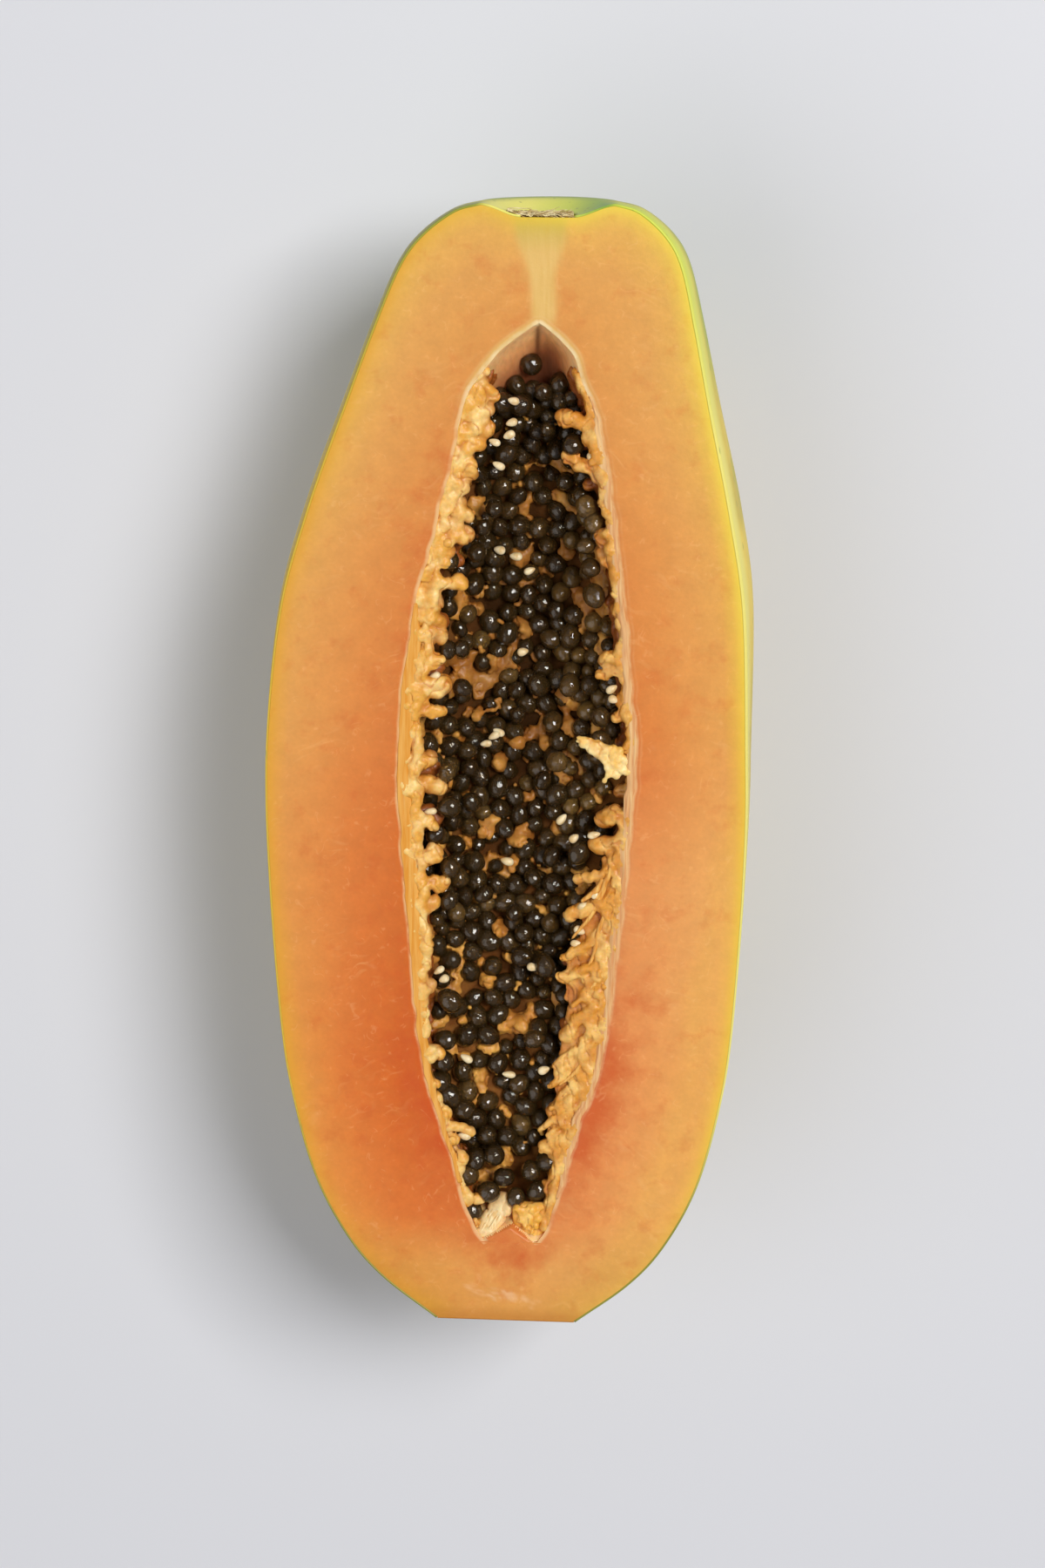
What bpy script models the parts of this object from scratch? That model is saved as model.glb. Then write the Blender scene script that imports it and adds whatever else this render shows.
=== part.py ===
"""Half of a large ripe papaya, cut lengthwise and lying on its back with the cut face up.

The stem end points along +Y, and the blossom end, sliced off square, along -Y. The origin is under the
middle of the fruit, on the surface that it rests on. There are two pieces: the flesh with its rind,
hollowed by the seed cavity and pressed a little flat where it rests, and the mass of seeds in the cavity.
"""

import math

import bmesh
import bpy
from mathutils import Vector, noise

MM = 0.001

# Driving dimensions, in millimetres. "Along" runs from the blossom end (-) to the stem end (+). Half
# widths are measured in the cut face from the centre line, and heights are counted from the cut face.
STEM_TOP = 159.2
BLOSSOM_SLICE = -159.2
OUTER_PROFILE = (  # (half width, along)
    (18.0, STEM_TOP),
    (25.0, 157.0),
    (33.0, 150.4),
    (38.2, 142.0),
    (43.4, 126.0),
    (49.5, 104.8),
    (58.0, 75.0),
    (64.0, 47.0),
    (66.9, 6.0),
    (66.6, -28.0),
    (64.0, -70.0),
    (60.8, -93.0),
    (54.6, -117.0),
    (45.6, -135.0),
    (35.4, -147.2),
    (20.0, BLOSSOM_SLICE),
)
DEPTH_TO_HALF_WIDTH = 1.18
BELLY_PRESSED = 0.8
NECK_LEAN = 11.6  # sideways, at the stem end
NECK_LEAN_STARTS = 5.0

# The half is a little more than a half, most of all near the stem: a section runs on past its widest
# point by this angle before it meets the cut.
BULGE_AT_BLOSSOM = math.radians(1.0)
BULGE_AT_STEM = math.radians(16.0)
BULGE_RISES = (-65.0, 85.0)

CARPELS = 5  # they show as faint ribs on the rind and as blunt corners of the cavity
RIB_HEIGHT = 0.012
CORNER_DEPTH = 0.035

CAVITY_PROFILE = (  # (half width, along)
    (0.5, 127.2),
    (6.8, 122.0),
    (12.0, 115.0),
    (18.4, 98.0),
    (23.7, 75.0),
    (28.7, 49.0),
    (31.8, 17.0),
    (31.7, -16.0),
    (28.5, -50.0),
    (25.0, -76.5),
    (18.5, -100.0),
    (12.2, -120.7),
    (9.0, -132.0),
    (6.5, -137.0),
)
CAVITY_DEPTH_TO_HALF_WIDTH = 1.25
CAVITY_BULGE = math.radians(12.0)
CAVITY_OFFSET = 2.6
CAVITY_LEAN = 8.2  # sideways, at its pointed end
TONGUE_TIP = (4.6, -129.4)  # the ridge of flesh that splits the cavity's blossom end in two
TONGUE_RADIUS = 4.6

RECESS_DEPTH = 3.2  # the dimple round the stem scar
RECESS_RADIUS = 17.0
SCAR_RADIUS = 8.2

SEED_GAP = 0.35  # clearance between the seeds and the cavity's wall
SEED_SPACING = 7.4
SEED_RELIEF = 2.8
SEED_SHIFT = 1.1  # how far a seed is out of line, and how far above or below the rest
SEED_LIFT = 1.9
SHOULDER_REACH = 0.62  # of the way from a seed's top to the corner of its foot
SHOULDER_DROP = 1.1
SEED_LEVEL_AT_WALL = -5.5
SEED_LEVEL_NEAR_STEM = -22.0
SEED_LEVEL_NEAR_BLOSSOM = -9.5
SEED_LEVEL_FALLS = (-120.0, 30.0)
SEED_LEVEL_TO_CAVITY_DEPTH = 0.68  # at most, so that the narrow ends are filled too
SEEDS_REACH = (-132.0, 118.0)

OUTER_RINGS, OUTER_STEPS = 38, 26
CAVITY_RINGS, CAVITY_STEPS = 30, 16

RIND_COLOUR = (0.62, 0.50, 0.09)
FLESH_COLOUR = (0.76, 0.30, 0.075)
LINING_COLOUR = (0.78, 0.42, 0.12)
SEED_COLOUR = (0.022, 0.015, 0.011)


def ramp(value, span):
    """Rises smoothly from 0 to 1 as the value crosses the span."""
    share = min(1.0, max(0.0, (value - span[0]) / (span[1] - span[0])))
    return share * share * (3 - 2 * share)


def smooth_line(profile, count):
    """A smooth curve through the profile's points, as count points an equal way apart along it."""
    points = [Vector(point) for point in profile]
    padded = [2 * points[0] - points[1], *points, 2 * points[-1] - points[-2]]
    curve = []
    for before, start, end, after in zip(padded, padded[1:], padded[2:], padded[3:]):
        for step in range(16):
            t = step / 16
            bend = before - 2.5 * start + 2 * end - 0.5 * after
            twist = 1.5 * (start - end) + 0.5 * (after - before)
            curve.append(start + 0.5 * t * (end - before) + t * t * bend + t * t * t * twist)
    curve.append(points[-1])
    travelled = [0.0]
    for one, two in zip(curve, curve[1:]):
        travelled.append(travelled[-1] + (two - one).length)
    line = []
    span = 0
    for index in range(count):
        target = travelled[-1] * index / (count - 1)
        while travelled[span + 1] < target and span < len(curve) - 2:
            span += 1
        share = (target - travelled[span]) / (travelled[span + 1] - travelled[span])
        line.append(curve[span].lerp(curve[span + 1], share))
    return line


def inset(line, gap):
    """The line moved inwards by the gap, square to itself."""
    moved = []
    for index, point in enumerate(line):
        run = line[min(index + 1, len(line) - 1)] - line[max(index - 1, 0)]
        run.normalize()
        moved.append(point + gap * Vector((run.y, -run.x)))
    return moved


def cavity_half_width(along):
    for (wide, upper), (narrow, lower) in zip(CAVITY_PROFILE, CAVITY_PROFILE[1:]):
        if lower <= along <= upper:
            return wide + (narrow - wide) * (upper - along) / (upper - lower)
    return 1.0


def neck_centre(along):
    return NECK_LEAN * max(0.0, (along - NECK_LEAN_STARTS) / (STEM_TOP - NECK_LEAN_STARTS)) ** 1.5


def cavity_centre(along):
    return CAVITY_OFFSET + CAVITY_LEAN * max(0.0, along / CAVITY_PROFILE[0][1]) ** 1.8


def section(centre, half_width, along, bulge, depth_ratio, steps, ribs):
    """A closed D: an arc that hangs below the cut face and meets it at both half widths."""
    radius = half_width / math.cos(bulge)
    sink = radius * math.sin(bulge)
    deepen = depth_ratio * half_width / (radius + sink)
    ring = []
    for step in range(steps + 1):
        share = step / steps
        turn = -bulge + (math.pi + 2 * bulge) * share
        reach = radius * (1 + ribs * math.cos(CARPELS * turn) * math.sin(math.pi * share))
        height = -deepen * (sink + reach * math.sin(turn))
        if step in (0, steps):
            height = 0.0
        ring.append(Vector((centre + reach * math.cos(turn), along, height)))
    return ring


def outer_section(half_width, along):
    bulge = BULGE_AT_BLOSSOM + (BULGE_AT_STEM - BULGE_AT_BLOSSOM) * ramp(along, BULGE_RISES)
    centre = neck_centre(along)
    return section(centre, half_width, along, bulge, DEPTH_TO_HALF_WIDTH, OUTER_STEPS, RIB_HEIGHT)


def cavity_section(half_width, along):
    centre = cavity_centre(along)
    deep = CAVITY_DEPTH_TO_HALF_WIDTH
    return section(centre, half_width, along, CAVITY_BULGE, deep, CAVITY_STEPS, CORNER_DEPTH)


def colour(name, base, roughness):
    made = bpy.data.materials.new(name)
    made.use_nodes = True
    shader = made.node_tree.nodes["Principled BSDF"]
    shader.inputs["Base Color"].default_value = (*base, 1)
    shader.inputs["Roughness"].default_value = roughness
    shader.inputs["Metallic"].default_value = 0.0
    return made


def add_object(name, mesh, materials):
    bmesh.ops.recalc_face_normals(mesh, faces=mesh.faces)
    data = bpy.data.meshes.new(name)
    mesh.to_mesh(data)
    mesh.free()
    for slot in materials:
        data.materials.append(slot)
    data.shade_smooth()
    data.set_sharp_from_angle(angle=math.radians(40))
    made = bpy.data.objects.new(name, data)
    bpy.context.scene.collection.objects.link(made)
    return made


def loft(name, rings, materials):
    """A closed solid through the rings. Its flat side and its two ends take the last material."""
    mesh = bmesh.new()
    loops = [[mesh.verts.new(point * MM) for point in ring] for ring in rings]
    flat = len(materials) - 1
    for one, two in zip(loops, loops[1:]):
        for index in range(len(one)):
            following = (index + 1) % len(one)
            side = mesh.faces.new((one[index], one[following], two[following], two[index]))
            side.material_index = flat if following == 0 else 0
    for end in (loops[0], loops[-1]):
        mesh.faces.new(end).material_index = flat
    return add_object(name, mesh, materials)


def cut_away(piece, cutter):
    """Takes the cutter's shape out of the piece, and hides the cutter."""
    cutter.hide_render = True
    cutter.display_type = "WIRE"
    cut = piece.modifiers.new("without " + cutter.name, "BOOLEAN")
    cut.operation = "DIFFERENCE"
    cut.material_mode = "TRANSFER"
    cut.object = cutter


def press_flat(piece, height):
    """Slices off what hangs below the height, and closes the slice."""
    mesh = bmesh.new()
    mesh.from_mesh(piece.data)
    below = bmesh.ops.bisect_plane(
        mesh,
        geom=[*mesh.verts, *mesh.edges, *mesh.faces],
        plane_co=(0, 0, height * MM),
        plane_no=(0, 0, -1),
        clear_outer=True,
    )
    rim = [part for part in below["geom_cut"] if isinstance(part, bmesh.types.BMEdge)]
    bmesh.ops.contextual_create(mesh, geom=rim)
    bmesh.ops.recalc_face_normals(mesh, faces=mesh.faces)
    mesh.to_mesh(piece.data)
    mesh.free()


def make_fruit(rind, flesh):
    rings = [outer_section(half_width, along) for half_width, along in smooth_line(OUTER_PROFILE, OUTER_RINGS)]
    fruit = loft("papaya_flesh", rings, (rind, flesh))
    press_flat(fruit, resting_height())
    return fruit


def resting_height():
    widest = max(half_width for half_width, _ in OUTER_PROFILE)
    return -widest * DEPTH_TO_HALF_WIDTH + BELLY_PRESSED


def make_cavity(lining):
    """The cutter for the seed cavity, with the tongue of flesh at its blossom end left standing."""
    rings = []
    for half_width, along in smooth_line(CAVITY_PROFILE, CAVITY_RINGS):
        ring = cavity_section(half_width, along)
        rings.append([*ring, ring[-1] + Vector((0, 0, 5)), ring[0] + Vector((0, 0, 5))])
    cavity = loft("seed_cavity", rings, (lining,))
    cut_away(cavity, make_tongue(lining))
    return cavity


def make_tongue(lining):
    """A cone lying along the fruit, its tip towards the stem end."""
    tip_x, tip_along = TONGUE_TIP
    length = tip_along - CAVITY_PROFILE[-1][1] + 2
    mesh = bmesh.new()
    bmesh.ops.create_cone(
        mesh,
        cap_ends=True,
        segments=16,
        radius1=TONGUE_RADIUS * MM,
        radius2=0.4 * MM,
        depth=length * MM,
    )
    tongue = add_object("tongue", mesh, (lining,))
    tongue.rotation_euler.x = math.radians(-90)
    tongue.scale.y = 2.5
    tongue.location = Vector((tip_x, tip_along - length / 2, 0)) * MM
    return tongue


def make_recess(rind):
    """The cutter for the dimple of the stem scar: a shallow dish turned about the fruit's axis."""
    floor = STEM_TOP - RECESS_DEPTH
    outline = (
        (0.0, floor),
        (SCAR_RADIUS, floor),
        ((SCAR_RADIUS + RECESS_RADIUS) / 2, floor + 0.4 * RECESS_DEPTH),
        (RECESS_RADIUS, STEM_TOP),
        (RECESS_RADIUS + 1.0, STEM_TOP + 2.0),
        (0.0, STEM_TOP + 2.0),
    )
    mesh = bmesh.new()
    points = [mesh.verts.new(Vector((radius, along, 0)) * MM) for radius, along in outline]
    edges = [mesh.edges.new(pair) for pair in zip(points, points[1:])]
    bmesh.ops.spin(
        mesh,
        geom=[*points, *edges],
        cent=(0, 0, 0),
        axis=(0, 1, 0),
        angle=2 * math.pi,
        steps=24,
        use_merge=True,
    )
    bmesh.ops.remove_doubles(mesh, verts=mesh.verts, dist=0.01 * MM)
    recess = add_object("stem_recess", mesh, (rind,))
    recess.location.x = neck_centre(STEM_TOP) * MM
    return recess


def seed_level(x, along):
    """The heap's top without its seeds: a trough, deepest towards the stem end."""
    half_width = cavity_half_width(along)
    deepest = -half_width * CAVITY_DEPTH_TO_HALF_WIDTH * SEED_LEVEL_TO_CAVITY_DEPTH
    falling = ramp(along, SEED_LEVEL_FALLS)
    middle = SEED_LEVEL_NEAR_BLOSSOM + (SEED_LEVEL_NEAR_STEM - SEED_LEVEL_NEAR_BLOSSOM) * falling
    middle = max(middle, deepest)
    across = min(1.0, abs(x - cavity_centre(along)) / half_width)
    return middle + (SEED_LEVEL_AT_WALL - middle) * across**2.2


def add_seed(mesh, x, along):
    """A rounded top on a six-sided foot, a little out of line with the others and out of true."""
    uneven = noise.noise_vector(Vector((0.23 * x, 0.31 * along, 0.5)))
    height = seed_level(x, along) + SEED_RELIEF + uneven.z * SEED_LIFT
    top = Vector((x + uneven.x * SEED_SHIFT, along + uneven.y * SEED_SHIFT, height))
    foot = []
    shoulder = []
    for corner in range(6):
        turn = math.radians(60 * corner + 30)
        reach = SEED_SPACING / math.sqrt(3)
        corner_x = x + reach * math.cos(turn)
        corner_along = along + reach * math.sin(turn)
        outward = Vector((reach * math.cos(turn), reach * math.sin(turn), -SHOULDER_DROP)) * SHOULDER_REACH
        foot.append(mesh.verts.new(Vector((corner_x, corner_along, seed_level(corner_x, corner_along))) * MM))
        shoulder.append(mesh.verts.new((top + outward) * MM))
    peak = mesh.verts.new(top * MM)
    for corner in range(6):
        following = (corner + 1) % 6
        mesh.faces.new((foot[corner], foot[following], shoulder[following], shoulder[corner]))
        mesh.faces.new((shoulder[corner], shoulder[following], peak))


def make_air(seeds):
    """The cutter above the heap: a slab whose underside is the tops of the seeds."""
    row_height = SEED_SPACING * math.sin(math.pi / 3)
    columns = math.ceil(max(half_width for half_width, _ in CAVITY_PROFILE) / SEED_SPACING) + 1
    first_row = math.floor(CAVITY_PROFILE[-1][1] / row_height) - 1
    last_row = math.ceil(CAVITY_PROFILE[0][1] / row_height) + 1
    mesh = bmesh.new()
    for row in range(first_row, last_row + 1):
        for column in range(-columns, columns + 1):
            add_seed(mesh, CAVITY_OFFSET + (column + 0.5 * (row % 2)) * SEED_SPACING, row * row_height)
    bmesh.ops.remove_doubles(mesh, verts=mesh.verts, dist=0.01 * MM)
    rim = [edge for edge in mesh.edges if edge.is_boundary]
    for part in bmesh.ops.extrude_edge_only(mesh, edges=rim)["geom"]:
        if isinstance(part, bmesh.types.BMVert):
            part.co.z = 5 * MM
    bmesh.ops.contextual_create(mesh, geom=[edge for edge in mesh.edges if edge.is_boundary])
    return add_object("air_over_seeds", mesh, (seeds,))


def make_heap(seeds):
    lowest, highest = SEEDS_REACH
    rings = []
    for half_width, along in inset(smooth_line(CAVITY_PROFILE, CAVITY_RINGS), SEED_GAP):
        if lowest <= along <= highest:
            rings.append(cavity_section(half_width, along))
    return loft("seed_heap", rings, (seeds,))


def main():
    for leftover in list(bpy.data.objects):
        bpy.data.objects.remove(leftover)
    rind = colour("ripe rind", RIND_COLOUR, 0.45)
    flesh = colour("wet flesh", FLESH_COLOUR, 0.35)
    lining = colour("cavity lining", LINING_COLOUR, 0.4)
    seeds = colour("wet seeds", SEED_COLOUR, 0.2)

    fruit = make_fruit(rind, flesh)
    cut_away(fruit, make_cavity(lining))
    cut_away(fruit, make_recess(rind))
    heap = make_heap(seeds)
    cut_away(heap, make_air(seeds))

    ground = bpy.data.objects.new("ground", None)
    bpy.context.scene.collection.objects.link(ground)
    for piece in bpy.data.objects:
        if piece is not ground:
            piece.parent = ground
    ground.location.z = -resting_height() * MM


main()
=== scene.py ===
"""The looks of a papaya half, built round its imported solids: the cut flesh and its peel, the stem scar, the
seed cavity's lining and placenta, the ripe and the unripe seeds, and a pale table in soft daylight."""

import math

import bmesh
import bpy
import numpy as np
from mathutils import Matrix, Vector, noise
from mathutils.kdtree import KDTree


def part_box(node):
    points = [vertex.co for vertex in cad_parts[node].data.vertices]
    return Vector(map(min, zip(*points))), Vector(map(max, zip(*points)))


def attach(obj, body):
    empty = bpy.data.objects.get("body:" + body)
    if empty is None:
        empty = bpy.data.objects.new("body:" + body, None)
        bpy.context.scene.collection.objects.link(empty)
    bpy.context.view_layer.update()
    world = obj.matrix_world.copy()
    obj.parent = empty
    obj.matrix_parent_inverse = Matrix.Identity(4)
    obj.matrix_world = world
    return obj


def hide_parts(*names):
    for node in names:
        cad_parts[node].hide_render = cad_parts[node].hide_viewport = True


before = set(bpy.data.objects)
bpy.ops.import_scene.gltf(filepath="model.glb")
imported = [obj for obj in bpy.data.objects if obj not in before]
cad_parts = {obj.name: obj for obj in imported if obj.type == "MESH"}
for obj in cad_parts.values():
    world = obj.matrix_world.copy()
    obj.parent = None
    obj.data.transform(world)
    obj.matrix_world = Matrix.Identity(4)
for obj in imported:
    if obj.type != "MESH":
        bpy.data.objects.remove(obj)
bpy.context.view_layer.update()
MM = 0.001
cut_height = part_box("papaya_flesh")[1].z  # the level of the cut face above the table

# ---------------------------------------------------------------------------------------------------------
# Camera. It looks down on the cut face, leaning a little to the right and towards the stem end, with the
# stem end at the top of the picture.
camera_lean = math.radians(14)
camera_turn = math.radians(5)
camera_distance = 1.025
aim = Vector((0.0049, -0.0003, cut_height))

towards_camera = Vector((
    math.sin(camera_turn) * math.cos(camera_lean),
    math.sin(camera_lean),
    math.cos(camera_turn) * math.cos(camera_lean),
))
camera_right = Vector((0, 1, 0)).cross(towards_camera).normalized()
camera_up = towards_camera.cross(camera_right)
camera = bpy.data.objects.new("camera", bpy.data.cameras.new("camera"))
camera.data.lens = 85
camera.data.sensor_width = 36
camera.matrix_world = Matrix.Translation(aim + towards_camera * camera_distance) @ Matrix(
    (camera_right, camera_up, towards_camera)
).transposed().to_4x4()
bpy.context.scene.collection.objects.link(camera)
bpy.context.scene.camera = camera
bpy.context.scene.view_settings.view_transform = "Standard"

# ---------------------------------------------------------------------------------------------------------
# Flesh. One soft, wet, orange body, cut level with a knife and hollowed by the seed cavity. It is yellow
# under the peel and deepens to orange red towards the cavity, with pale fibres all through it and a pale
# woody core from the stem scar to the cavity's point. The cavity's wall is its inner skin.
OUTER_PROFILE = (  # (half width, distance along the fruit), in millimetres, from the stem end
    (18.0, 159.2), (25.0, 157.0), (33.0, 150.4), (38.2, 142.0), (43.4, 126.0), (49.5, 104.8),
    (58.0, 75.0), (64.0, 47.0), (66.9, 6.0), (66.6, -28.0), (64.0, -70.0), (60.8, -93.0),
    (54.6, -117.0), (45.6, -135.0), (35.4, -147.2), (20.0, -159.2),
)
CAVITY_PROFILE = (
    (0.5, 127.2), (6.8, 122.0), (12.0, 115.0), (18.4, 98.0), (23.7, 75.0), (28.7, 49.0), (31.8, 17.0),
    (31.7, -16.0), (28.5, -50.0), (25.0, -76.5), (18.5, -100.0), (12.2, -120.7), (9.0, -131.0),
    (6.3, -135.4),
)
STEM_END, BLOSSOM_END = 159.2, -159.2
PEEL_THICKNESS = 0.55
DISH_RADIUS, SCAR_RADIUS, DISH_DEPTH = 17.0, 8.2, 3.2
TONGUE_TIP = (1.4, -130.2)
CAVITY_POINT = 127.2  # where the cavity ends towards the stem
RIND_DEPTH, RIND_CORNERS = 1.18, 0.012  # an arc's depth against its half width, and how five cornered it is
WALL_DEPTH, WALL_CORNERS = 1.25, 0.035
UNDER_STEPS, STRIP_STEPS, WALL_STEPS = 44, 30, 64


def smoothstep(value, low=0.0, high=1.0):
    """From 0 at low to 1 at high, with soft ends."""
    share = np.clip((np.asarray(value, float) - low) / (high - low), 0.0, 1.0)
    return share * share * (3 - 2 * share)


def smooth_line(profile, count):
    """A smooth curve through the profile's points, as count points an equal way apart along it."""
    points = np.array(profile, float)
    padded = np.vstack((2 * points[0] - points[1], points, 2 * points[-1] - points[-2]))
    t = np.linspace(0, 1, 24, endpoint=False)[:, None]
    spans = []
    for before, start, end, after in zip(padded, padded[1:], padded[2:], padded[3:]):
        bend = before - 2.5 * start + 2 * end - 0.5 * after
        twist = 1.5 * (start - end) + 0.5 * (after - before)
        spans.append(start + 0.5 * t * (end - before) + t**2 * bend + t**3 * twist)
    curve = np.vstack((*spans, points[-1:]))
    travelled = np.concatenate(([0], np.cumsum(np.linalg.norm(np.diff(curve, axis=0), axis=1))))
    places = np.linspace(0, travelled[-1], count)
    return np.column_stack([np.interp(places, travelled, curve[:, axis]) for axis in (0, 1)])


def neck_centre(along):
    """The fruit's middle line, which leans to the right towards the stem."""
    return 11.6 * np.maximum(0.0, (along - 5.0) / 154.2) ** 1.5


def wider_left(along):
    """The blossom half of the cavity is wider on the left than its even outline, by twice this."""
    return 1.35 * smoothstep(-along, 35.0, 100.0)


def cavity_centre(along):
    """The cavity's middle line."""
    inside = 2.6 + 8.2 * np.clip(along / CAVITY_POINT, 0.0, 1.0) ** 1.8
    at_stem = (inside, neck_centre(STEM_END))
    stem_share = np.clip((along - CAVITY_POINT) / (STEM_END - CAVITY_POINT), 0, 1)
    blossom_share = np.clip((along + 137.0) / (BLOSSOM_END + 137.0), 0, 1)
    point = 1.5 * smoothstep(along, 96.0, 114.0) * smoothstep(STEM_END - along, 6.0, 24.0)
    middle = at_stem[0] * (1 - stem_share) + at_stem[1] * stem_share
    return (middle - wider_left(along)) * (1 - blossom_share) - point


def unevenness(x, y, z):
    """Noise from -1 to 1 at the places of a grid, which all have the same z."""
    places = zip(x.ravel(), y.ravel())
    return np.array([noise.noise(Vector((a, b, z))) for a, b in places]).reshape(x.shape)


def wander(place, size, seed):
    """Smooth unevenness from -1 to 1 along a line, for edges that no knife or mould made true."""
    place = np.atleast_1d(place) / size
    return unevenness(place, np.full(place.shape, seed * 7.3), 0.5)


cavity_line = smooth_line(CAVITY_PROFILE, 600)[::-1]


def cavity_half_width(along):
    """Half the cavity's width at the cut."""
    even = np.interp(along, cavity_line[:, 1], cavity_line[:, 0], left=0.0, right=0.0)
    return even + wider_left(along) * (even > 0)


def rim_swell(along, side):
    """How much further out a rim bulges: on the left by the cavity's point, on the right at mid length."""
    if side < 0:
        return 2.4 * np.exp(-((along - 104.0) / 13.0) ** 2)
    return 1.3 * np.exp(-((along - 6.0) / 15.0) ** 2)


def rim(along, side):
    """Where the cavity meets the cut face, on the left (-1) or on the right (1)."""
    half_width = cavity_half_width(along)
    uneven = 0.7 * wander(along, 9.0, side + 2) + 0.4 * wander(along, 3.5, side + 5)
    uneven = uneven + rim_swell(along, side)
    return cavity_centre(along) + side * (half_width + uneven * smoothstep(half_width, 0.0, 6.0))


def arc(centre, half_width, bulge, depth, steps, corners):
    """A hanging arc from the right to the left, as (steps + 1) rows of x and z, for each half width."""
    radius = half_width / np.cos(bulge)
    sink = radius * np.sin(bulge)
    share = np.linspace(0, 1, steps + 1)
    turn = -bulge[:, None] + (np.pi + 2 * bulge[:, None]) * share
    reach = radius[:, None] * (1 + corners * np.cos(5 * turn) * np.sin(np.pi * share))
    deepen = np.where(half_width > 0, depth * half_width / np.maximum(radius + sink, 1e-9), 1.0)
    x = centre[:, None] + reach * np.cos(turn)
    z = -deepen[:, None] * (sink[:, None] + reach * np.sin(turn))
    z[:, [0, -1]] = 0.0
    return x, z


def outer_bulge(along):
    """How far round below the cut the rind is at its widest, as an angle."""
    return np.radians(1.0 + 15.0 * smoothstep(along, -65.0, 85.0))


def dish_sunk(x, z):
    """How far the stem end is sunk into a shallow dish round the scar."""
    from_axis = np.hypot(x - neck_centre(STEM_END), z)
    return DISH_DEPTH * (1 - smoothstep(from_axis, SCAR_RADIUS - 1.5, DISH_RADIUS + 1.5))


def press_dish(points):
    """Presses the dish round the scar into the points near the stem end."""
    at_stem = smoothstep(points[..., 1], 140.0, STEM_END)
    points[..., 1] -= dish_sunk(points[..., 0], points[..., 2]) * at_stem
    return points


def inset(line, gap):
    """The line, moved inwards by a gap."""
    run = np.gradient(line, axis=0)
    run /= np.linalg.norm(run, axis=1)[:, None]
    return line + gap * np.column_stack((run[:, 1], -run[:, 0]))


def mesh_object(name, points, faces, materials=(), face_materials=None):
    """A mesh from points in millimetres, with heights counted from the cut face."""
    data = bpy.data.meshes.new(name)
    places = (np.asarray(points) * MM + (0, 0, cut_height)).tolist()
    data.from_pydata(places, [], np.asarray(faces).tolist())
    if face_materials is not None:
        data.polygons.foreach_set("material_index", np.asarray(face_materials, np.int32))
    for material in materials:
        data.materials.append(material)
    made = bpy.data.objects.new(name, data)
    bpy.context.scene.collection.objects.link(made)
    return made


def clean(made):
    """Merges points that meet, drops what that leaves without area, and turns every face outwards."""
    mesh = bmesh.new()
    mesh.from_mesh(made.data)
    bmesh.ops.remove_doubles(mesh, verts=mesh.verts, dist=0.004 * MM)
    bmesh.ops.dissolve_degenerate(mesh, edges=mesh.edges, dist=0.002 * MM)
    bmesh.ops.recalc_face_normals(mesh, faces=mesh.faces)
    mesh.to_mesh(made.data)
    mesh.free()
    made.data.shade_smooth()


def grid_mesh(grid, wrap=False):
    """A grid's points, and the quads between its rows. With wrap, the last column joins the first."""
    rows, columns = grid.shape[:2]
    columns_of_quads = columns if wrap else columns - 1
    row, column = np.meshgrid(np.arange(rows - 1), np.arange(columns_of_quads), indexing="ij")
    following = (column + 1) % columns
    corners = (row * columns + column, row * columns + following)
    above = ((row + 1) * columns + following, (row + 1) * columns + column)
    return grid.reshape(-1, 3), np.stack((*corners, *above), axis=-1).reshape(-1, 4)


def joined(parts):
    """Many meshes, each given as its points and its faces, as the points and the faces of one."""
    firsts = np.cumsum([0] + [len(points) for points, _ in parts])
    faces = [part_faces + first for (_, part_faces), first in zip(parts, firsts)]
    return np.vstack([points for points, _ in parts]), np.vstack(faces)


flesh_line = inset(smooth_line(OUTER_PROFILE, 300), PEEL_THICKNESS + 0.02)
flesh_line = np.vstack((flesh_line, (flesh_line[-1, 0], BLOSSOM_END)))
by_tongue = np.arange(-127.0, -139.0, -0.3)  # closer rows where the tongue comes up
by_tongue = np.column_stack((np.interp(by_tongue, flesh_line[::-1, 1], flesh_line[::-1, 0]), by_tongue))
above_it, past_it = flesh_line[:, 1] > by_tongue[0, 1] + 0.2, flesh_line[:, 1] < by_tongue[-1, 1] - 0.2
flesh_line = np.vstack((flesh_line[above_it], by_tongue, flesh_line[past_it]))
half_width, along = flesh_line.T
rows = len(along)
under_x, under_z = arc(
    neck_centre(along), half_width, outer_bulge(along), RIND_DEPTH, UNDER_STEPS, RIND_CORNERS
)
wall_width = cavity_half_width(along)
wall_bulge = 0.21 - 1.0 * smoothstep(along, 86.0, 114.0)  # the stem end's walls lean open
wall_x, wall_z = arc(cavity_centre(along), wall_width, wall_bulge, WALL_DEPTH, WALL_STEPS, WALL_CORNERS)
left_rim, right_rim = rim(along, -1), rim(along, 1)
across = np.linspace(0, 1, WALL_STEPS + 1)
wall_x += (right_rim - wall_x[:, 0])[:, None] * (1 - across) + (left_rim - wall_x[:, -1])[:, None] * across
shares = 0.5 - 0.5 * np.cos(np.linspace(0, np.pi, STRIP_STEPS + 1))
left_x = under_x[:, -1:] + (left_rim - under_x[:, -1])[:, None] * shares
right_x = right_rim[:, None] + (under_x[:, 0] - right_rim)[:, None] * shares
level = np.zeros((rows, STRIP_STEPS))
ring_x = np.hstack((under_x[:, :-1], left_x[:, :-1], wall_x[:, :0:-1], right_x[:, :-1]))
ring_z = np.hstack((under_z[:, :-1], level, wall_z[:, :0:-1], level))
columns = ring_x.shape[1]
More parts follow.
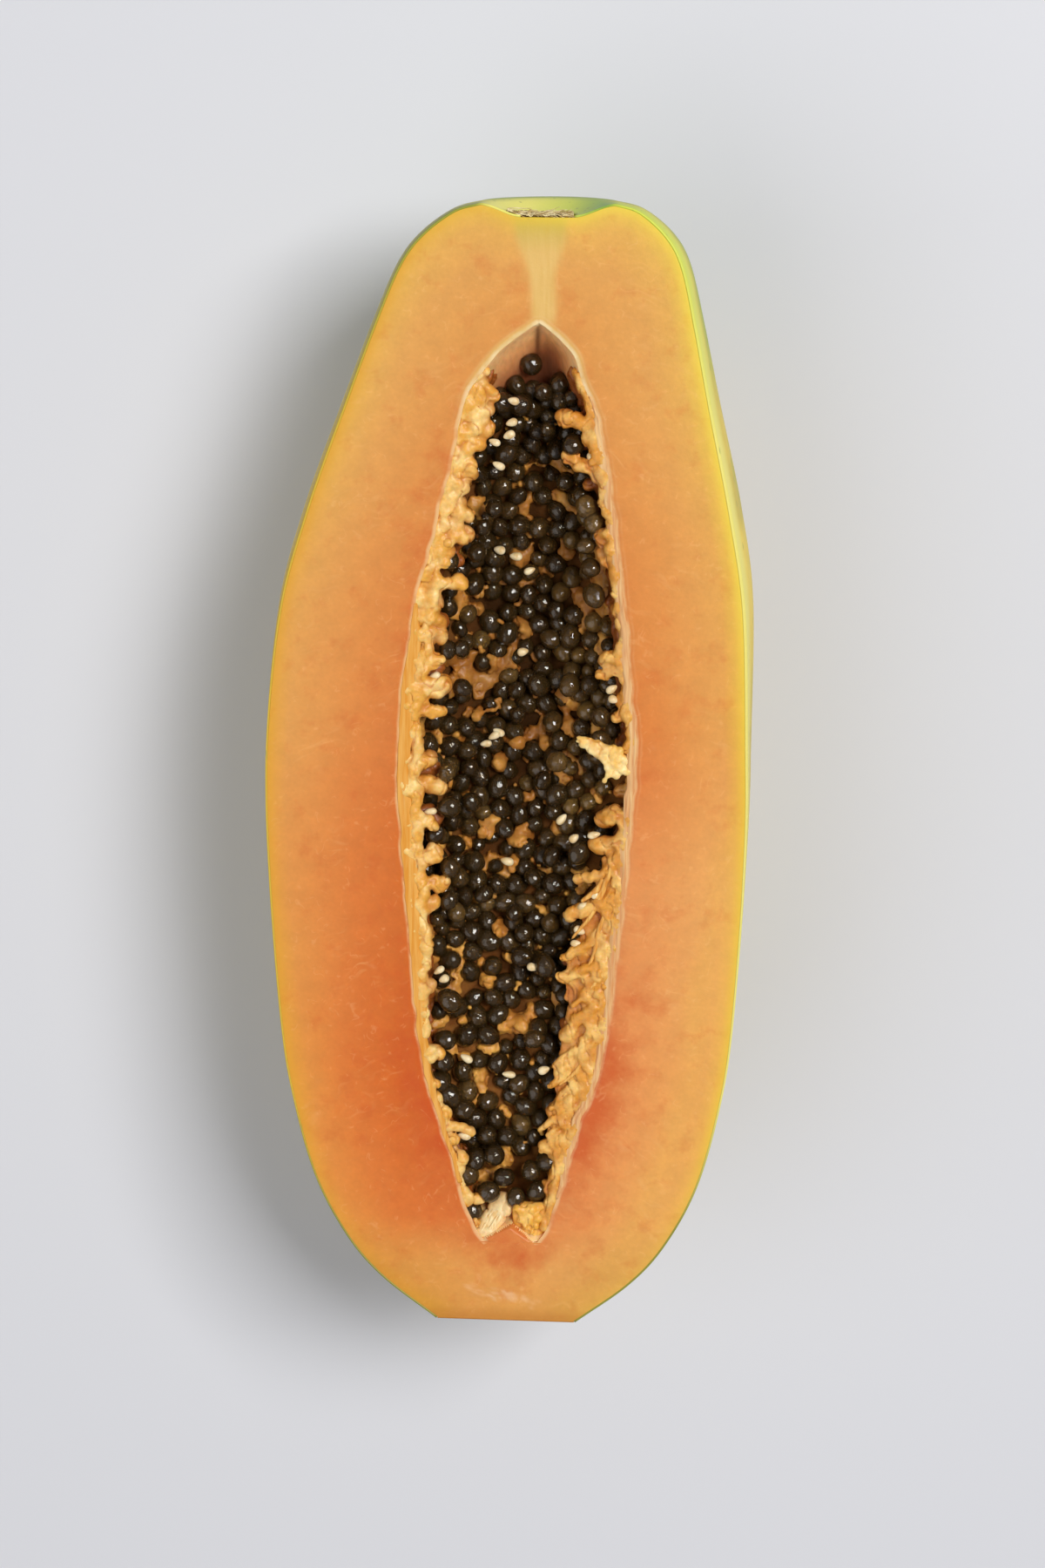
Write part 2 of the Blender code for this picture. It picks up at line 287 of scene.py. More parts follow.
ring_y = np.repeat(along[:, None], columns, axis=1)
first_wall = UNDER_STEPS + STRIP_STEPS
wall_columns = slice(first_wall, first_wall + WALL_STEPS)

# A tongue of flesh splits the cavity's blossom end in two.
tongue_slope = np.where(ring_x < TONGUE_TIP[0], 1.9, 1.3)
tongue_half_width = np.clip(TONGUE_TIP[1] - ring_y, 0.0, 5.5) * tongue_slope
in_tongue = smoothstep(tongue_half_width - np.abs(ring_x - TONGUE_TIP[0]), -1.0, 1.4)
in_tongue = np.where(tongue_half_width > 0, in_tongue, 0.0)
shallow = -0.7 - 0.85 * np.clip(ring_y + 135.6, 0.0, None) - 40 * smoothstep(ring_y, -128.0, -118.0)
ring_z[:, wall_columns] = np.maximum(ring_z, shallow)[:, wall_columns] * (1 - in_tongue[:, wall_columns])


def end_cap(row):
    """Half discs that close an end section: arcs that share their ends with the section's level side."""
    left, right = left_x[row], right_x[row, ::-1]
    bulge = np.full(len(left), outer_bulge(along[row]))
    x, z = arc((left + right) / 2, (right - left) / 2, bulge, RIND_DEPTH, UNDER_STEPS, RIND_CORNERS)
    return np.stack((x, np.full_like(x, along[row]), z), axis=-1)


# The knife left the face a little wavy, and the flesh has drawn back from it along the cavity's rim.
to_rim = np.minimum(np.abs(ring_x - left_rim[:, None]), np.abs(ring_x - right_rim[:, None]))
lip_drop = 0.32 * (1 - smoothstep(to_rim, 0.0, 1.7)) * smoothstep(wall_width, 0.0, 4.0)[:, None]
waves = unevenness(ring_x / 13.0, ring_y / 8.0, 2.5)
to_edge = np.minimum(ring_x - left_x[:, :1], right_x[:, -1:] - ring_x)
from_ends = smoothstep(np.abs(ring_y), STEM_END, STEM_END - 9.0)
waviness = 0.22 * (0.5 + 0.5 * waves) * (from_ends * smoothstep(to_edge, 0.0, 5.0))
ring_z -= np.where(ring_z > -1.0, lip_drop + waviness, 0.0)

body_grid = np.stack((ring_x, ring_y, ring_z), axis=-1)
flesh_points, flesh_faces = joined([
    grid_mesh(body_grid, wrap=True), grid_mesh(end_cap(0)), grid_mesh(end_cap(-1)),
])
face_row, face_column = np.divmod(np.arange((rows - 1) * columns), columns)
is_wall = (face_column >= first_wall) & (face_column < first_wall + WALL_STEPS)
is_wall &= in_tongue[face_row, face_column] < 0.5
is_wall &= wall_width[face_row] > 0
face_materials = np.concatenate((is_wall, np.zeros(len(flesh_faces) - len(is_wall), bool)))


def linear(hex_code):
    """A colour as Blender takes it, from its sRGB hex value."""
    parts = [int(hex_code[i:i + 2], 16) / 255 for i in (1, 3, 5)]
    return (*(part / 12.92 if part <= 0.04045 else ((part + 0.055) / 1.055) ** 2.4 for part in parts), 1.0)


def add_node(tree, kind, inputs=None, stops=None, **settings):
    """Adds a node, with its settings, and with its inputs given as values or as other nodes' outputs."""
    made = tree.nodes.new("ShaderNode" + kind)
    for name, value in settings.items():
        setattr(made, name, value)
    if stops:
        elements = made.color_ramp.elements
        while len(elements) < len(stops):
            elements.new(0.5)
        for element, (position, value) in zip(elements, stops):
            element.position = position
            element.color = linear(value) if isinstance(value, str) else (value, value, value, 1.0)
    for name, value in (inputs or {}).items():
        if isinstance(value, bpy.types.NodeSocket):
            tree.links.new(value, made.inputs[name])
        elif isinstance(value, str):
            made.inputs[name].default_value = linear(value)
        else:
            made.inputs[name].default_value = value
    return made


def measured(tree, name):
    """A measure that the mesh's points carry, such as their depth below the cut in millimetres."""
    return add_node(tree, "Attribute", attribute_name=name).outputs["Fac"]


def noise_at(tree, place, scale, detail, distortion=0.0, roughness=0.5):
    """Soft cloudy noise, from 0 to 1, most of it near the middle."""
    return add_node(tree, "TexNoise", {
        "Vector": place, "Scale": scale, "Detail": detail, "Distortion": distortion, "Roughness": roughness,
    }).outputs["Fac"]


def stretched(tree, place, scale):
    """Places, scaled by its own amount along each direction."""
    return add_node(tree, "Mapping", {"Vector": place, "Scale": scale}).outputs[0]


def ramp(tree, value, stops):
    """The colour or the grey that the stops give a value."""
    return add_node(tree, "ValToRGB", {"Fac": value}, stops=stops).outputs["Color"]


def share_of(tree, value, low=0.0, high=1.0, to_low=0.0, to_high=1.0):
    """How far a value has come from low to high, held between to_low and to_high."""
    return add_node(tree, "MapRange", {
        "Value": value, "From Min": low, "From Max": high, "To Min": to_low, "To Max": to_high,
    }).outputs[0]


def times(tree, first, second, added=0.0):
    """The product of two values, with a third one added."""
    return add_node(tree, "Math", {0: first, 1: second, 2: added}, operation="MULTIPLY_ADD").outputs[0]


def blend(tree, share, first, second):
    """The first colour, with a share of the second laid over it."""
    return add_node(tree, "MixRGB", {"Fac": share, "Color1": first, "Color2": second}).outputs[0]


def shaded(tree, colour, tone):
    """A colour, darkened by a tone over it."""
    return add_node(
        tree, "MixRGB", {"Fac": 1.0, "Color1": colour, "Color2": tone}, blend_type="MULTIPLY"
    ).outputs[0]


def axis_of(tree, place, axis):
    """How far places lie along one axis, X, Y or Z, in metres."""
    return add_node(tree, "SeparateXYZ", {"Vector": place}).outputs[axis]


def bump(tree, height, strength, distance):
    """Fine relief in a surface, from a height that stands out by the distance in metres."""
    inputs = {"Height": height, "Strength": strength, "Distance": distance}
    return add_node(tree, "Bump", inputs).outputs[0]


def new_material(name):
    """An empty material, its node tree, and the place of each point of the object that it covers."""
    made = bpy.data.materials.new(name)
    made.use_nodes = True
    made.node_tree.nodes.clear()
    return made, made.node_tree, add_node(made.node_tree, "TexCoord").outputs["Object"]


def surfaced(made, inputs):
    """The material, with its surface made from one principled shader's inputs."""
    shader = add_node(made.node_tree, "BsdfPrincipled", inputs)
    add_node(made.node_tree, "OutputMaterial", {"Surface": shader.outputs[0]})
    return made


def ripe_flesh():
    """Ripe flesh, freshly cut: soft and wet, with a broad low sheen over colour that deepens inwards."""
    made, tree, place = new_material("ripe papaya flesh")
    from_cavity = measured(tree, "from_cavity")
    along_fruit = axis_of(tree, place, "Y")

    # Clouds about 30 mm across shift the bands of colour, so that they follow no ruled line.
    drift = share_of(tree, noise_at(tree, place, 34.0, 3.0), to_low=-0.13, to_high=0.13)
    band = times(tree, measured(tree, "inward"), 1.0, drift)
    # The bands are shifted paler on the right, more in the blossom half: partly the flesh's own colour,
    # partly painted light from the right.
    across_fruit = axis_of(tree, place, "X")
    right_side = share_of(tree, across_fruit, -0.03, 0.03)
    right_thickness_and_painted_light = share_of(tree, along_fruit, 0.0, -0.06, -0.1, -0.3)
    band = times(tree, right_side, right_thickness_and_painted_light, band)
    bands = []
    for stops in (
        ((0.0, "#d9a94e"), (0.12, "#d8a24e"), (0.35, "#d6994e"), (0.65, "#d49349"), (1.0, "#d18a42")),
        ((0.0, "#d79841"), (0.15, "#d79349"), (0.4, "#d68b43"), (0.65, "#d37c37"), (1.0, "#cb6c2a")),
        ((0.0, "#d99338"), (0.15, "#d78536"), (0.4, "#d3732c"), (0.65, "#cd6620"), (1.0, "#c55a0c")),
        ((0.0, "#c98a29"), (0.2, "#d08b38"), (0.5, "#d58e40"), (0.8, "#d4853a"), (1.0, "#d07628")),
    ):
        bands.append(ramp(tree, band, stops))
    colour = bands[1]
    for other, low, high in ((0, 0.0, 0.12), (2, 0.01, -0.085), (3, -0.128, -0.143)):
        reach = share_of(tree, along_fruit, low, high)
        colour = blend(tree, reach, colour, bands[other])

    # The right side of the far half is paler, a peach orange: partly the flesh's own colour, partly painted
    # light from the right.
    peach_and_painted_light = share_of(tree, along_fruit, 0.015, -0.03, to_high=0.27)
    colour = blend(tree, times(tree, peach_and_painted_light, right_side), colour, "#ebb978")

    # Cells and cell groups: grain of 5 mm and of 1 mm.
    for scale, dark, light in ((190.0, 0.94, 1.05), (900.0, 0.96, 1.03)):
        tone = ramp(tree, noise_at(tree, place, scale, 4.0), ((0.25, dark), (0.75, light)))
        colour = shaded(tree, colour, tone)

    # The red blush round the blossom end of the cavity, in mottles a few millimetres across.
    blush = measured(tree, "blush")
    mottles = noise_at(tree, place, 150.0, 5.0, roughness=0.6)
    blushed = share_of(tree, times(tree, mottles, 1.7, blush), 0.93, 1.78, to_high=0.72)
    colour = blend(tree, blushed, colour, "#c0480f")

    # Pale fibres, 0.5 mm thick and some 8 mm long, wavy, running outwards from the cavity, in loose groups.
    outwards = times(tree, from_cavity, 0.14)
    lengthwise = times(tree, along_fruit, 520.0)
    swept = times(tree, from_cavity, 0.22, lengthwise)
    warped = noise_at(tree, place, 130.0, 1.0)
    swept = times(tree, warped, 4.5, swept)
    run = add_node(tree, "CombineXYZ", {"X": outwards, "Y": swept, "Z": right_side}).outputs[0]
    wavy = noise_at(tree, run, 1.0, 1.0, distortion=0.5)
    fibres = ramp(tree, wavy, ((0.56, 0.0), (0.72, 0.8)))
    patchy = ramp(tree, noise_at(tree, place, 60.0, 2.0), ((0.48, 0.0), (0.72, 0.32)))
    colour = blend(tree, times(tree, fibres, patchy), colour, "#e9b16e")

    # Fibre ends, cut across: short curled pale lines a third of a millimetre wide.
    curls = noise_at(tree, place, 190.0, 1.0, distortion=1.0)
    curls = ramp(tree, curls, ((0.465, 0.0), (0.5, 0.17), (0.535, 0.0)))
    cut_short = ramp(tree, noise_at(tree, place, 380.0, 1.0), ((0.56, 0.0), (0.66, 1.0)))
    colour = blend(tree, times(tree, curls, cut_short), colour, "#f0bd80")

    # The woody core at the stem, the pale inner skin where it is cut through at the rim, and the olive
    # line and the yellow layer just under the peel.
    strands = stretched(tree, place, (900.0, 90.0, 0.0))
    strands = noise_at(tree, strands, 1.0, 3.0)
    woody = ramp(tree, strands, ((0.3, "#d6af62"), (0.7, "#dcb86e")))
    by_scar = share_of(tree, along_fruit, 0.146, 0.1555, to_high=0.9)
    woody = blend(tree, by_scar, woody, "#b3a23c")
    colour = blend(tree, measured(tree, "core"), colour, woody)
    broken = noise_at(tree, place, 170.0, 3.0)
    lip_stops = ((0.0, 0.75), (0.12, 0.65), (0.24, 0.0))
    outer_stops = ((0.28, 0.0), (0.36, 0.15), (0.46, 0.0))
    for side, stops in ((None, lip_stops), (right_side, outer_stops)):
        lip = ramp(tree, times(tree, from_cavity, 0.2), stops)
        lip = times(tree, lip, ramp(tree, broken, ((0.36, 0.25), (0.56, 1.0))))
        if side:
            stem_half = share_of(tree, along_fruit, -0.035, 0.01)
            lip = times(tree, lip, side)
            lip = times(tree, lip, stem_half)
        by_point = share_of(tree, along_fruit, 0.1, 0.113)
        cream = blend(tree, by_point, "#e6bd84", "#eed8ac")
        colour = blend(tree, lip, colour, cream)
    under_peel_stops = ((0.0, 0.8), (0.14, 0.62), (0.4, 0.2), (0.75, 0.0))
    near_peel = times(tree, measured(tree, "from_rind"), 0.125)
    under_peel = ramp(tree, near_peel, under_peel_stops)
    stem_side = share_of(tree, along_fruit, 0.0, 0.05)
    yellow = blend(tree, stem_side, "#e3bf33", "#e8cf42")
    rind_side = blend(tree, right_side, "#d6981f", yellow)
    before_slice = share_of(tree, along_fruit, -0.14, -0.1, to_low=0.3)
    under_peel = times(tree, under_peel, before_slice)
    colour = blend(tree, under_peel, colour, rind_side)

    # Near the slice the flesh is darkened brown at the very edge, a painted shade, with whitish torn patches
    # above it.
    for name, tint in (("bruise", "#a85f1c"), ("torn", "#e9bd90")):
        colour = blend(tree, measured(tree, name), colour, tint)

    wet = noise_at(tree, place, 420.0, 5.0, roughness=0.6)
    relief = bump(tree, wet, 0.25, 0.0006)
    return surfaced(made, {
        "Base Color": colour, "Roughness": 0.42, "IOR": 1.38, "Normal": relief,
        "Subsurface Weight": 0.12, "Subsurface Radius": (1.0, 0.45, 0.2), "Subsurface Scale": 0.003,
    })


def inner_skin():
    """The cavity's inner skin: thin, smooth, wet and peach coloured, with fine creases and painted shade."""
    made, tree, place = new_material("papaya inner skin")
    # Painted shade: pale peach at the rim, darkening to brown deeper down.
    shade = share_of(tree, measured(tree, "depth"), 0.0, 19.0)
    stops = ((0.0, "#ffcf90"), (0.25, "#fcc280"), (0.45, "#e8a466"), (0.7, "#a8623a"), (1.0, "#5c2c18"))
    colour = ramp(tree, shade, stops)
    drawn = stretched(tree, place, (900.0, 110.0, 500.0))
    creases = noise_at(tree, drawn, 1.0, 3.0)
    tone = ramp(tree, creases, ((0.3, 0.86), (0.7, 1.08)))
    colour = shaded(tree, colour, tone)
    # Painted shade: a dark line where the two walls meet at the cavity's point.
    colour = blend(tree, measured(tree, "seam"), colour, "#6a3d22")
    relief = bump(tree, creases, 0.3, 0.0006)
    return surfaced(made, {
        "Base Color": colour, "Roughness": 0.45, "IOR": 1.35, "Normal": relief,
        "Subsurface Weight": 0.6, "Subsurface Radius": (1.0, 0.5, 0.25), "Subsurface Scale": 0.005,
    })


def press_flat(points, height):
    """Presses up to a height over the table what would hang below it, as the ripe belly yields there."""
    pressed = np.array(points, float)
    pressed[:, 2] = np.maximum(pressed[:, 2], height - cut_height / MM)
    return pressed


flesh = mesh_object(
    "papaya_cut_flesh", press_flat(press_dish(flesh_points), PEEL_THICKNESS), flesh_faces,
    (ripe_flesh(), inner_skin()), face_materials,
)
clean(flesh)


def set_attribute(made, name, values):
    """Gives every point of a mesh a value that its material can read."""
    attribute = made.data.attributes.new(name, "FLOAT", "POINT")
    attribute.data.foreach_set("value", np.asarray(values, np.float32))


def distances(points, outline):
    """How far each point is from a line, in the cut face."""
    tree = KDTree(len(outline))
    for index, (x, y) in enumerate(outline):
        tree.insert((x, y, 0), index)
    tree.balance()
    return np.array([tree.find((x, y, 0))[2] for x, y, _ in points])


def millimetres(made):
    """A mesh's points in millimetres, with heights counted from the cut face."""
    flat = np.empty(len(made.data.vertices) * 3)
    made.data.vertices.foreach_get("co", flat)
    return (flat.reshape(-1, 3) - (0, 0, cut_height)) / MM


def lumps(points, size, seed):
    """Noise from -1 to 1 at each point, for lumps about as wide as the size."""
    return np.array([noise.noise(Vector(point) / size + Vector((seed, 2.3 * seed, 0))) for point in points])


points = millimetres(flesh)
dense = smooth_line(OUTER_PROFILE, 1400)
stem_edge = np.linspace(-18, 18, 120)
edge = np.vstack((
    np.column_stack((neck_centre(dense[:, 1]) + dense[:, 0], dense[:, 1])),
    np.column_stack((neck_centre(dense[:, 1]) - dense[:, 0], dense[:, 1])),
))
stem_line = np.column_stack((neck_centre(STEM_END) + stem_edge, np.full(120, STEM_END), np.zeros(120)))
slice_line = np.column_stack((np.linspace(-20, 20, 60), np.full(60, BLOSSOM_END - 6)))
edge = np.vstack((edge, press_dish(stem_line)[:, :2], slice_line))
cavity_edge = np.linspace(-135.3, CAVITY_POINT, 900)
cavity_edge = np.vstack([np.column_stack((rim(cavity_edge, side), cavity_edge)) for side in (-1, 1)])
from_rind, from_cavity = distances(points, edge), distances(points, cavity_edge)
set_attribute(flesh, "from_rind", from_rind)
set_attribute(flesh, "from_cavity", from_cavity)
set_attribute(flesh, "inward", from_rind / (from_rind + from_cavity + 0.01))
set_attribute(flesh, "depth", -points[:, 2])
core_x = np.interp(points[:, 1], (127, 156), (10.8, 9.6))
core_width = 3.3 + 3.6 * smoothstep(points[:, 1], 138, 153)
core = (1 - smoothstep(np.abs(points[:, 0] - core_x), core_width - 1.4, core_width + 1.4))
core *= smoothstep(points[:, 1], 124, 130)
round_point = (1 - smoothstep(from_cavity, 0.6, 2.6)) * smoothstep(points[:, 1], 96, 122)
set_attribute(flesh, "core", 0.85 * np.maximum(core, round_point))
x, y = points[:, 0], points[:, 1]
blush = smoothstep(y, -28, -98) * (1 - 0.8 * smoothstep(y, -104, -124)) * np.exp(-(from_cavity / 10.5) ** 2)
stem_half_left = smoothstep(y, 18, 45) * (1 - smoothstep(y, 92, 115)) * (x < 5)
blush += 0.3 * stem_half_left * np.exp(-(from_cavity / 6.0) ** 2)
blush = np.maximum(blush, 0.9 * np.exp(-((x - 1.5) / 9.0) ** 2 - ((y + 139.0) / 7.0) ** 2))
set_attribute(flesh, "blush", 0.85 * blush)
# A painted shade: darker brown along the slice's edge.
set_attribute(flesh, "bruise", 0.45 * (1 - smoothstep(y, BLOSSOM_END + 0.5, BLOSSOM_END + 5)))
torn = 0.4 * lumps(points, 3.0, 9) + 0.35 * lumps(points, 1.1, 12)
band_of_tears = np.exp(-((x + 1) / 12.0) ** 4 - ((y + 151.8 + 0.16 * x) / 2.4) ** 2)
set_attribute(flesh, "torn", 0.55 * smoothstep(torn + 0.75 * band_of_tears, 0.36, 1.0))
# Where the walls meet at the cavity's point: a painted shade line for the inner skin.
seam = np.exp(-((x - cavity_centre(y) + 0.4) / 0.7) ** 2) * smoothstep(y, 100, 108)
set_attribute(flesh, "seam", 0.75 * seam * smoothstep(-points[:, 2], 0.5, 3.0))

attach(flesh, "root")
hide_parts("papaya_flesh")

# ---------------------------------------------------------------------------------------------------------
# Peel. A thin waxy skin, half a millimetre thick, grown on the flesh. It is ripe yellow with green streaks,
# green at the stem and faintly five cornered, with short corky flecks. The knife left its edge at the cut.
peel_line = smooth_line(OUTER_PROFILE, 300)
half_width, along = peel_line.T
PEEL_STEPS = 110
x, z = arc(neck_centre(along), half_width, outer_bulge(along), RIND_DEPTH, PEEL_STEPS, RIND_CORNERS)
skin_grid = np.stack((x, np.repeat(along[:, None], PEEL_STEPS + 1, axis=1), z), axis=-1)
dish_width = np.linspace(18.0, SCAR_RADIUS - 1.0, 14)
dish_centre = np.full(14, neck_centre(STEM_END))
dish_bulge = np.full(14, outer_bulge(STEM_END))
x, z = arc(dish_centre, dish_width, dish_bulge, RIND_DEPTH, PEEL_STEPS, RIND_CORNERS)
dish_grid = np.stack((x, np.full_like(x, STEM_END), z), axis=-1)[::-1]
peel_points, peel_faces = grid_mesh(np.vstack((dish_grid[:-1], skin_grid)))
peel = mesh_object("papaya_peel", press_flat(press_dish(peel_points), 0.0), peel_faces)


def ripe_peel():
    """Ripe peel: smooth and waxy, so it has a soft gloss; yellow, with green left in it near the stem."""
    made, tree, place = new_material("ripe papaya peel")
    along_fruit = axis_of(tree, place, "Y")
    clouds = noise_at(tree, place, 22.0, 4.0, distortion=0.6)
    colour = ramp(tree, clouds, ((0.3, "#c9b13a"), (0.45, "#e2c443"), (0.6, "#ecd457"), (0.75, "#e9b93c")))
    near_stem = share_of(tree, along_fruit, 0.095, 0.16)
    streaked = stretched(tree, place, (150.0, 30.0, 150.0))
    streaks = noise_at(tree, streaked, 1.0, 3.0)
    green = times(tree, near_stem, 1.0, streaks)
    green = ramp(tree, green, ((0.52, 0.0), (1.0, 0.85)))
    below_cut = measured(tree, "below_cut")
    green = times(tree, green, below_cut)
    colour = blend(tree, green, colour, "#7a9f2c")
    # The rind at the cut edge: its own olive green, painted paler and yellower on the right, where the light
    # falls.
    rind = share_of(tree, below_cut, 0.5, 0.05)
    across_fruit = axis_of(tree, place, "X")
    to_right = share_of(tree, across_fruit, 0.006, 0.03)
    left_rind = blend(tree, near_stem, "#c9a835", "#8c9336")
    right_rind_painted_light = blend(tree, near_stem, "#e2d670", "#c4d040")
    rind_with_painted_light = blend(tree, to_right, left_rind, right_rind_painted_light)
    by_slice = share_of(tree, along_fruit, -0.09, -0.13)
    rind_with_painted_light = blend(tree, by_slice, rind_with_painted_light, "#8c8a34")
    colour = blend(tree, rind, colour, rind_with_painted_light)
    dish_stops = ((0.0, "#e6de6a"), (0.45, "#cbd353"), (0.8, "#8fb043"), (1.0, "#5f9440"))
    dish = ramp(tree, to_right, dish_stops)
    colour = blend(tree, measured(tree, "in_dish"), colour, dish)
    flecks = stretched(tree, place, (700.0, 260.0, 700.0))
    flecks = add_node(tree, "TexVoronoi", {"Vector": flecks, "Scale": 0.45, "Randomness": 1.0})
    flecks = ramp(tree, flecks.outputs["Distance"], ((0.09, 0.55), (0.17, 0.0)))
    colour = blend(tree, flecks, colour, "#8d9350")
    pores = noise_at(tree, place, 700.0, 4.0)
    relief = bump(tree, pores, 0.2, 0.0004)
    return surfaced(made, {
        "Base Color": colour, "Roughness": 0.48, "IOR": 1.4, "Normal": relief,
        "Coat Weight": 0.1, "Coat Roughness": 0.3,
    })


peel.data.materials.append(ripe_peel())
clean(peel)
points = millimetres(peel)
set_attribute(peel, "below_cut", smoothstep(-points[:, 2], 1.0, 13.0))
from_scar = np.hypot(points[:, 0] - neck_centre(STEM_END), points[:, 2])
set_attribute(peel, "in_dish", (1 - smoothstep(from_scar, 15.0, 20.0)) * smoothstep(points[:, 1], 150, 155))
thicken = peel.modifiers.new("thickness", "SOLIDIFY")
thicken.thickness = PEEL_THICKNESS * MM
thicken.offset = -1
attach(peel, "root")

# ---------------------------------------------------------------------------------------------------------
# Stem scar. Where the fruit stalk broke off: a dry, brown, corky half disc in the bottom of the dish, torn
# into straw coloured fibres along the cut.
SCAR_MIDDLE = neck_centre(STEM_END) - 2.4
FIBRES = 130
turns, reaches = np.meshgrid(np.radians(np.linspace(-2, -178, 60)), np.linspace(0, SCAR_RADIUS, 16))
swell = 0.5 * (1 - (reaches / SCAR_RADIUS) ** 2)
swell += 0.35 * unevenness(reaches * np.cos(turns) / 1.3, reaches * np.sin(turns) / 1.3, 3.0)
scar_x, scar_z = SCAR_MIDDLE + 1.12 * reaches * np.cos(turns), reaches * np.sin(turns) * 1.1
scar_floor = STEM_END - dish_sunk(scar_x, scar_z)
scar_grid = np.stack((scar_x, scar_floor + np.where(reaches < SCAR_RADIUS, swell, -0.3), scar_z), axis=-1)
scar_back = np.stack((scar_x, scar_floor - 0.8, scar_z), axis=-1)
scar = mesh_object("stem_scar", *joined([grid_mesh(scar_grid), grid_mesh(scar_back)]))


def tube(path, radii, sides=6):
    """A closed tube along a path, as points and faces."""
    path = np.asarray(path, float)
    run = np.gradient(path, axis=0)
    run /= np.linalg.norm(run, axis=1)[:, None]
    first = np.cross(run, (0.31, 0.22, 0.93))  # a direction that no path runs in
    first /= np.linalg.norm(first, axis=1)[:, None]
    second = np.cross(run, first)
    turn = np.linspace(0, 2 * np.pi, sides, endpoint=False)
    ring = first[:, None] * np.cos(turn)[:, None] + second[:, None] * np.sin(turn)[:, None]
    return grid_mesh(path[:, None] + ring * np.asarray(radii)[:, None, None], wrap=True)


rng = np.random.default_rng(11)
fibre_parts = []
for _ in range(FIBRES):
    length = rng.uniform(1.5, 6.5)
    start = (rng.uniform(-1.1, 0.95) * SCAR_RADIUS, rng.uniform(-0.4, 0.6), -rng.uniform(0.1, 2.0))
    heading = rng.normal(0.0, 0.25)
    share = np.linspace(0, 1, 9)
    curl = rng.normal(0, 0.5, 2)[:, None] * np.sin(np.pi * share * rng.uniform(0.6, 1.8))
    path = np.column_stack((
        start[0] + length * share,
        start[1] + length * share * math.sin(heading) * 0.5 + curl[0] * 0.7,
        start[2] - abs(curl[1]) * 0.8 + 0.2 * share,
    ))
    path[:, 0] = SCAR_MIDDLE + np.clip(path[:, 0], -1.12 * SCAR_RADIUS, 1.12 * SCAR_RADIUS)
    path[:, 1] += STEM_END - dish_sunk(path[:, 0], path[:, 2]) + 0.25
    fibre_parts.append(tube(path, np.linspace(0.15, 0.06, 9) * rng.uniform(0.7, 1.4), 5))
fibres = mesh_object("stem_scar_fibres", *joined(fibre_parts))


def dry_stem(name, dark, light):
    """Dry stem tissue: matte and corky, with brown pits between straw coloured strands."""
    made, tree, place = new_material(name)
    drawn = stretched(tree, place, (350.0, 1400.0, 900.0))
    strands = noise_at(tree, drawn, 1.0, 4.0)
    colour = ramp(tree, strands, ((0.35, dark), (0.62, light)))
    relief = bump(tree, strands, 0.6, 0.0005)
    return surfaced(made, {
        "Base Color": colour, "Roughness": 0.8, "Normal": relief,
    })


scar.data.materials.append(dry_stem("corky stem scar", "#2e1c0c", "#8a6c3a"))
fibres.data.materials.append(dry_stem("dry stem fibre", "#a88644", "#ecdcaa"))
clean(scar)
clean(fibres)
for piece in (scar, fibres):
    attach(piece, "root")

# ---------------------------------------------------------------------------------------------------------
# Seed bed. The wet brown orange tissue that lines the cavity under the seeds: it follows the wall and is
# uneven on top, where the seeds sit in it and lumps of it show between them.
BED_REACH = (-131.0, 107.0)
BED_UNDER_SEEDS = 3.2


def seed_level(x, along):
    """The level that the seeds fill the cavity to: a trough, deepest towards the stem end."""
    half_width = np.maximum(cavity_half_width(along), 0.1)
    falling = smoothstep(along, -120.0, 30.0)
    middle = np.maximum(-9.5 - 14.0 * falling, -0.85 * half_width)
    across = np.minimum(1.0, np.abs(x - cavity_centre(along)) / half_width)
    return middle + (-5.5 - middle) * across**2.2


def cavity_floor(x, along):
    """The level of the cavity's wall."""
    half_width = np.maximum(cavity_half_width(along), 0.1)
    across = np.clip(np.abs(x - cavity_centre(along)) / half_width, 0, 1)
    return -WALL_DEPTH * half_width * np.sqrt(1 - across**2)


bed_along = np.arange(*BED_REACH, 0.9)
bed_share = np.linspace(-1, 1, 76)
bed_y = np.repeat(bed_along[:, None], len(bed_share), axis=1)
bed_half = (cavity_half_width(bed_along) - 0.4)[:, None] * 0.985
bed_x = cavity_centre(bed_along)[:, None] + bed_half * np.sin(bed_share * np.pi / 2)
bed_bottom = cavity_floor(bed_x, bed_y) + 0.6
bed_top = seed_level(bed_x, bed_y) - BED_UNDER_SEEDS
relief_points = np.stack((bed_x, bed_y, bed_top), axis=-1).reshape(-1, 3)
bed_top += (1.7 * lumps(relief_points, 6.0, 4) + 0.8 * lumps(relief_points, 2.2, 5)).reshape(bed_top.shape)
bed_ends = smoothstep(bed_y, 92.0, 105.0) + 1 - smoothstep(bed_y, -130.0, -120.0)
bed_top += (bed_bottom - bed_top) * bed_ends
bed_top = np.maximum(bed_top, bed_bottom + 0.3)


def slab(name, x, y, top, bottom, materials=()):
    """A closed body between two uneven surfaces over the same grid of places."""
    body = np.stack((
        np.hstack((x, x[:, ::-1])), np.hstack((y, y)), np.hstack((top, bottom[:, ::-1])),
    ), axis=-1)
    made = mesh_object(name, *grid_mesh(body, wrap=True), materials)
    clean(made)
    mesh = bmesh.new()
    mesh.from_mesh(made.data)
    bmesh.ops.holes_fill(mesh, edges=mesh.edges, sides=0)
    bmesh.ops.recalc_face_normals(mesh, faces=mesh.faces)
    mesh.to_mesh(made.data)
    mesh.free()
    return made


bed = slab("seed_bed", bed_x, bed_y, bed_top, bed_bottom)


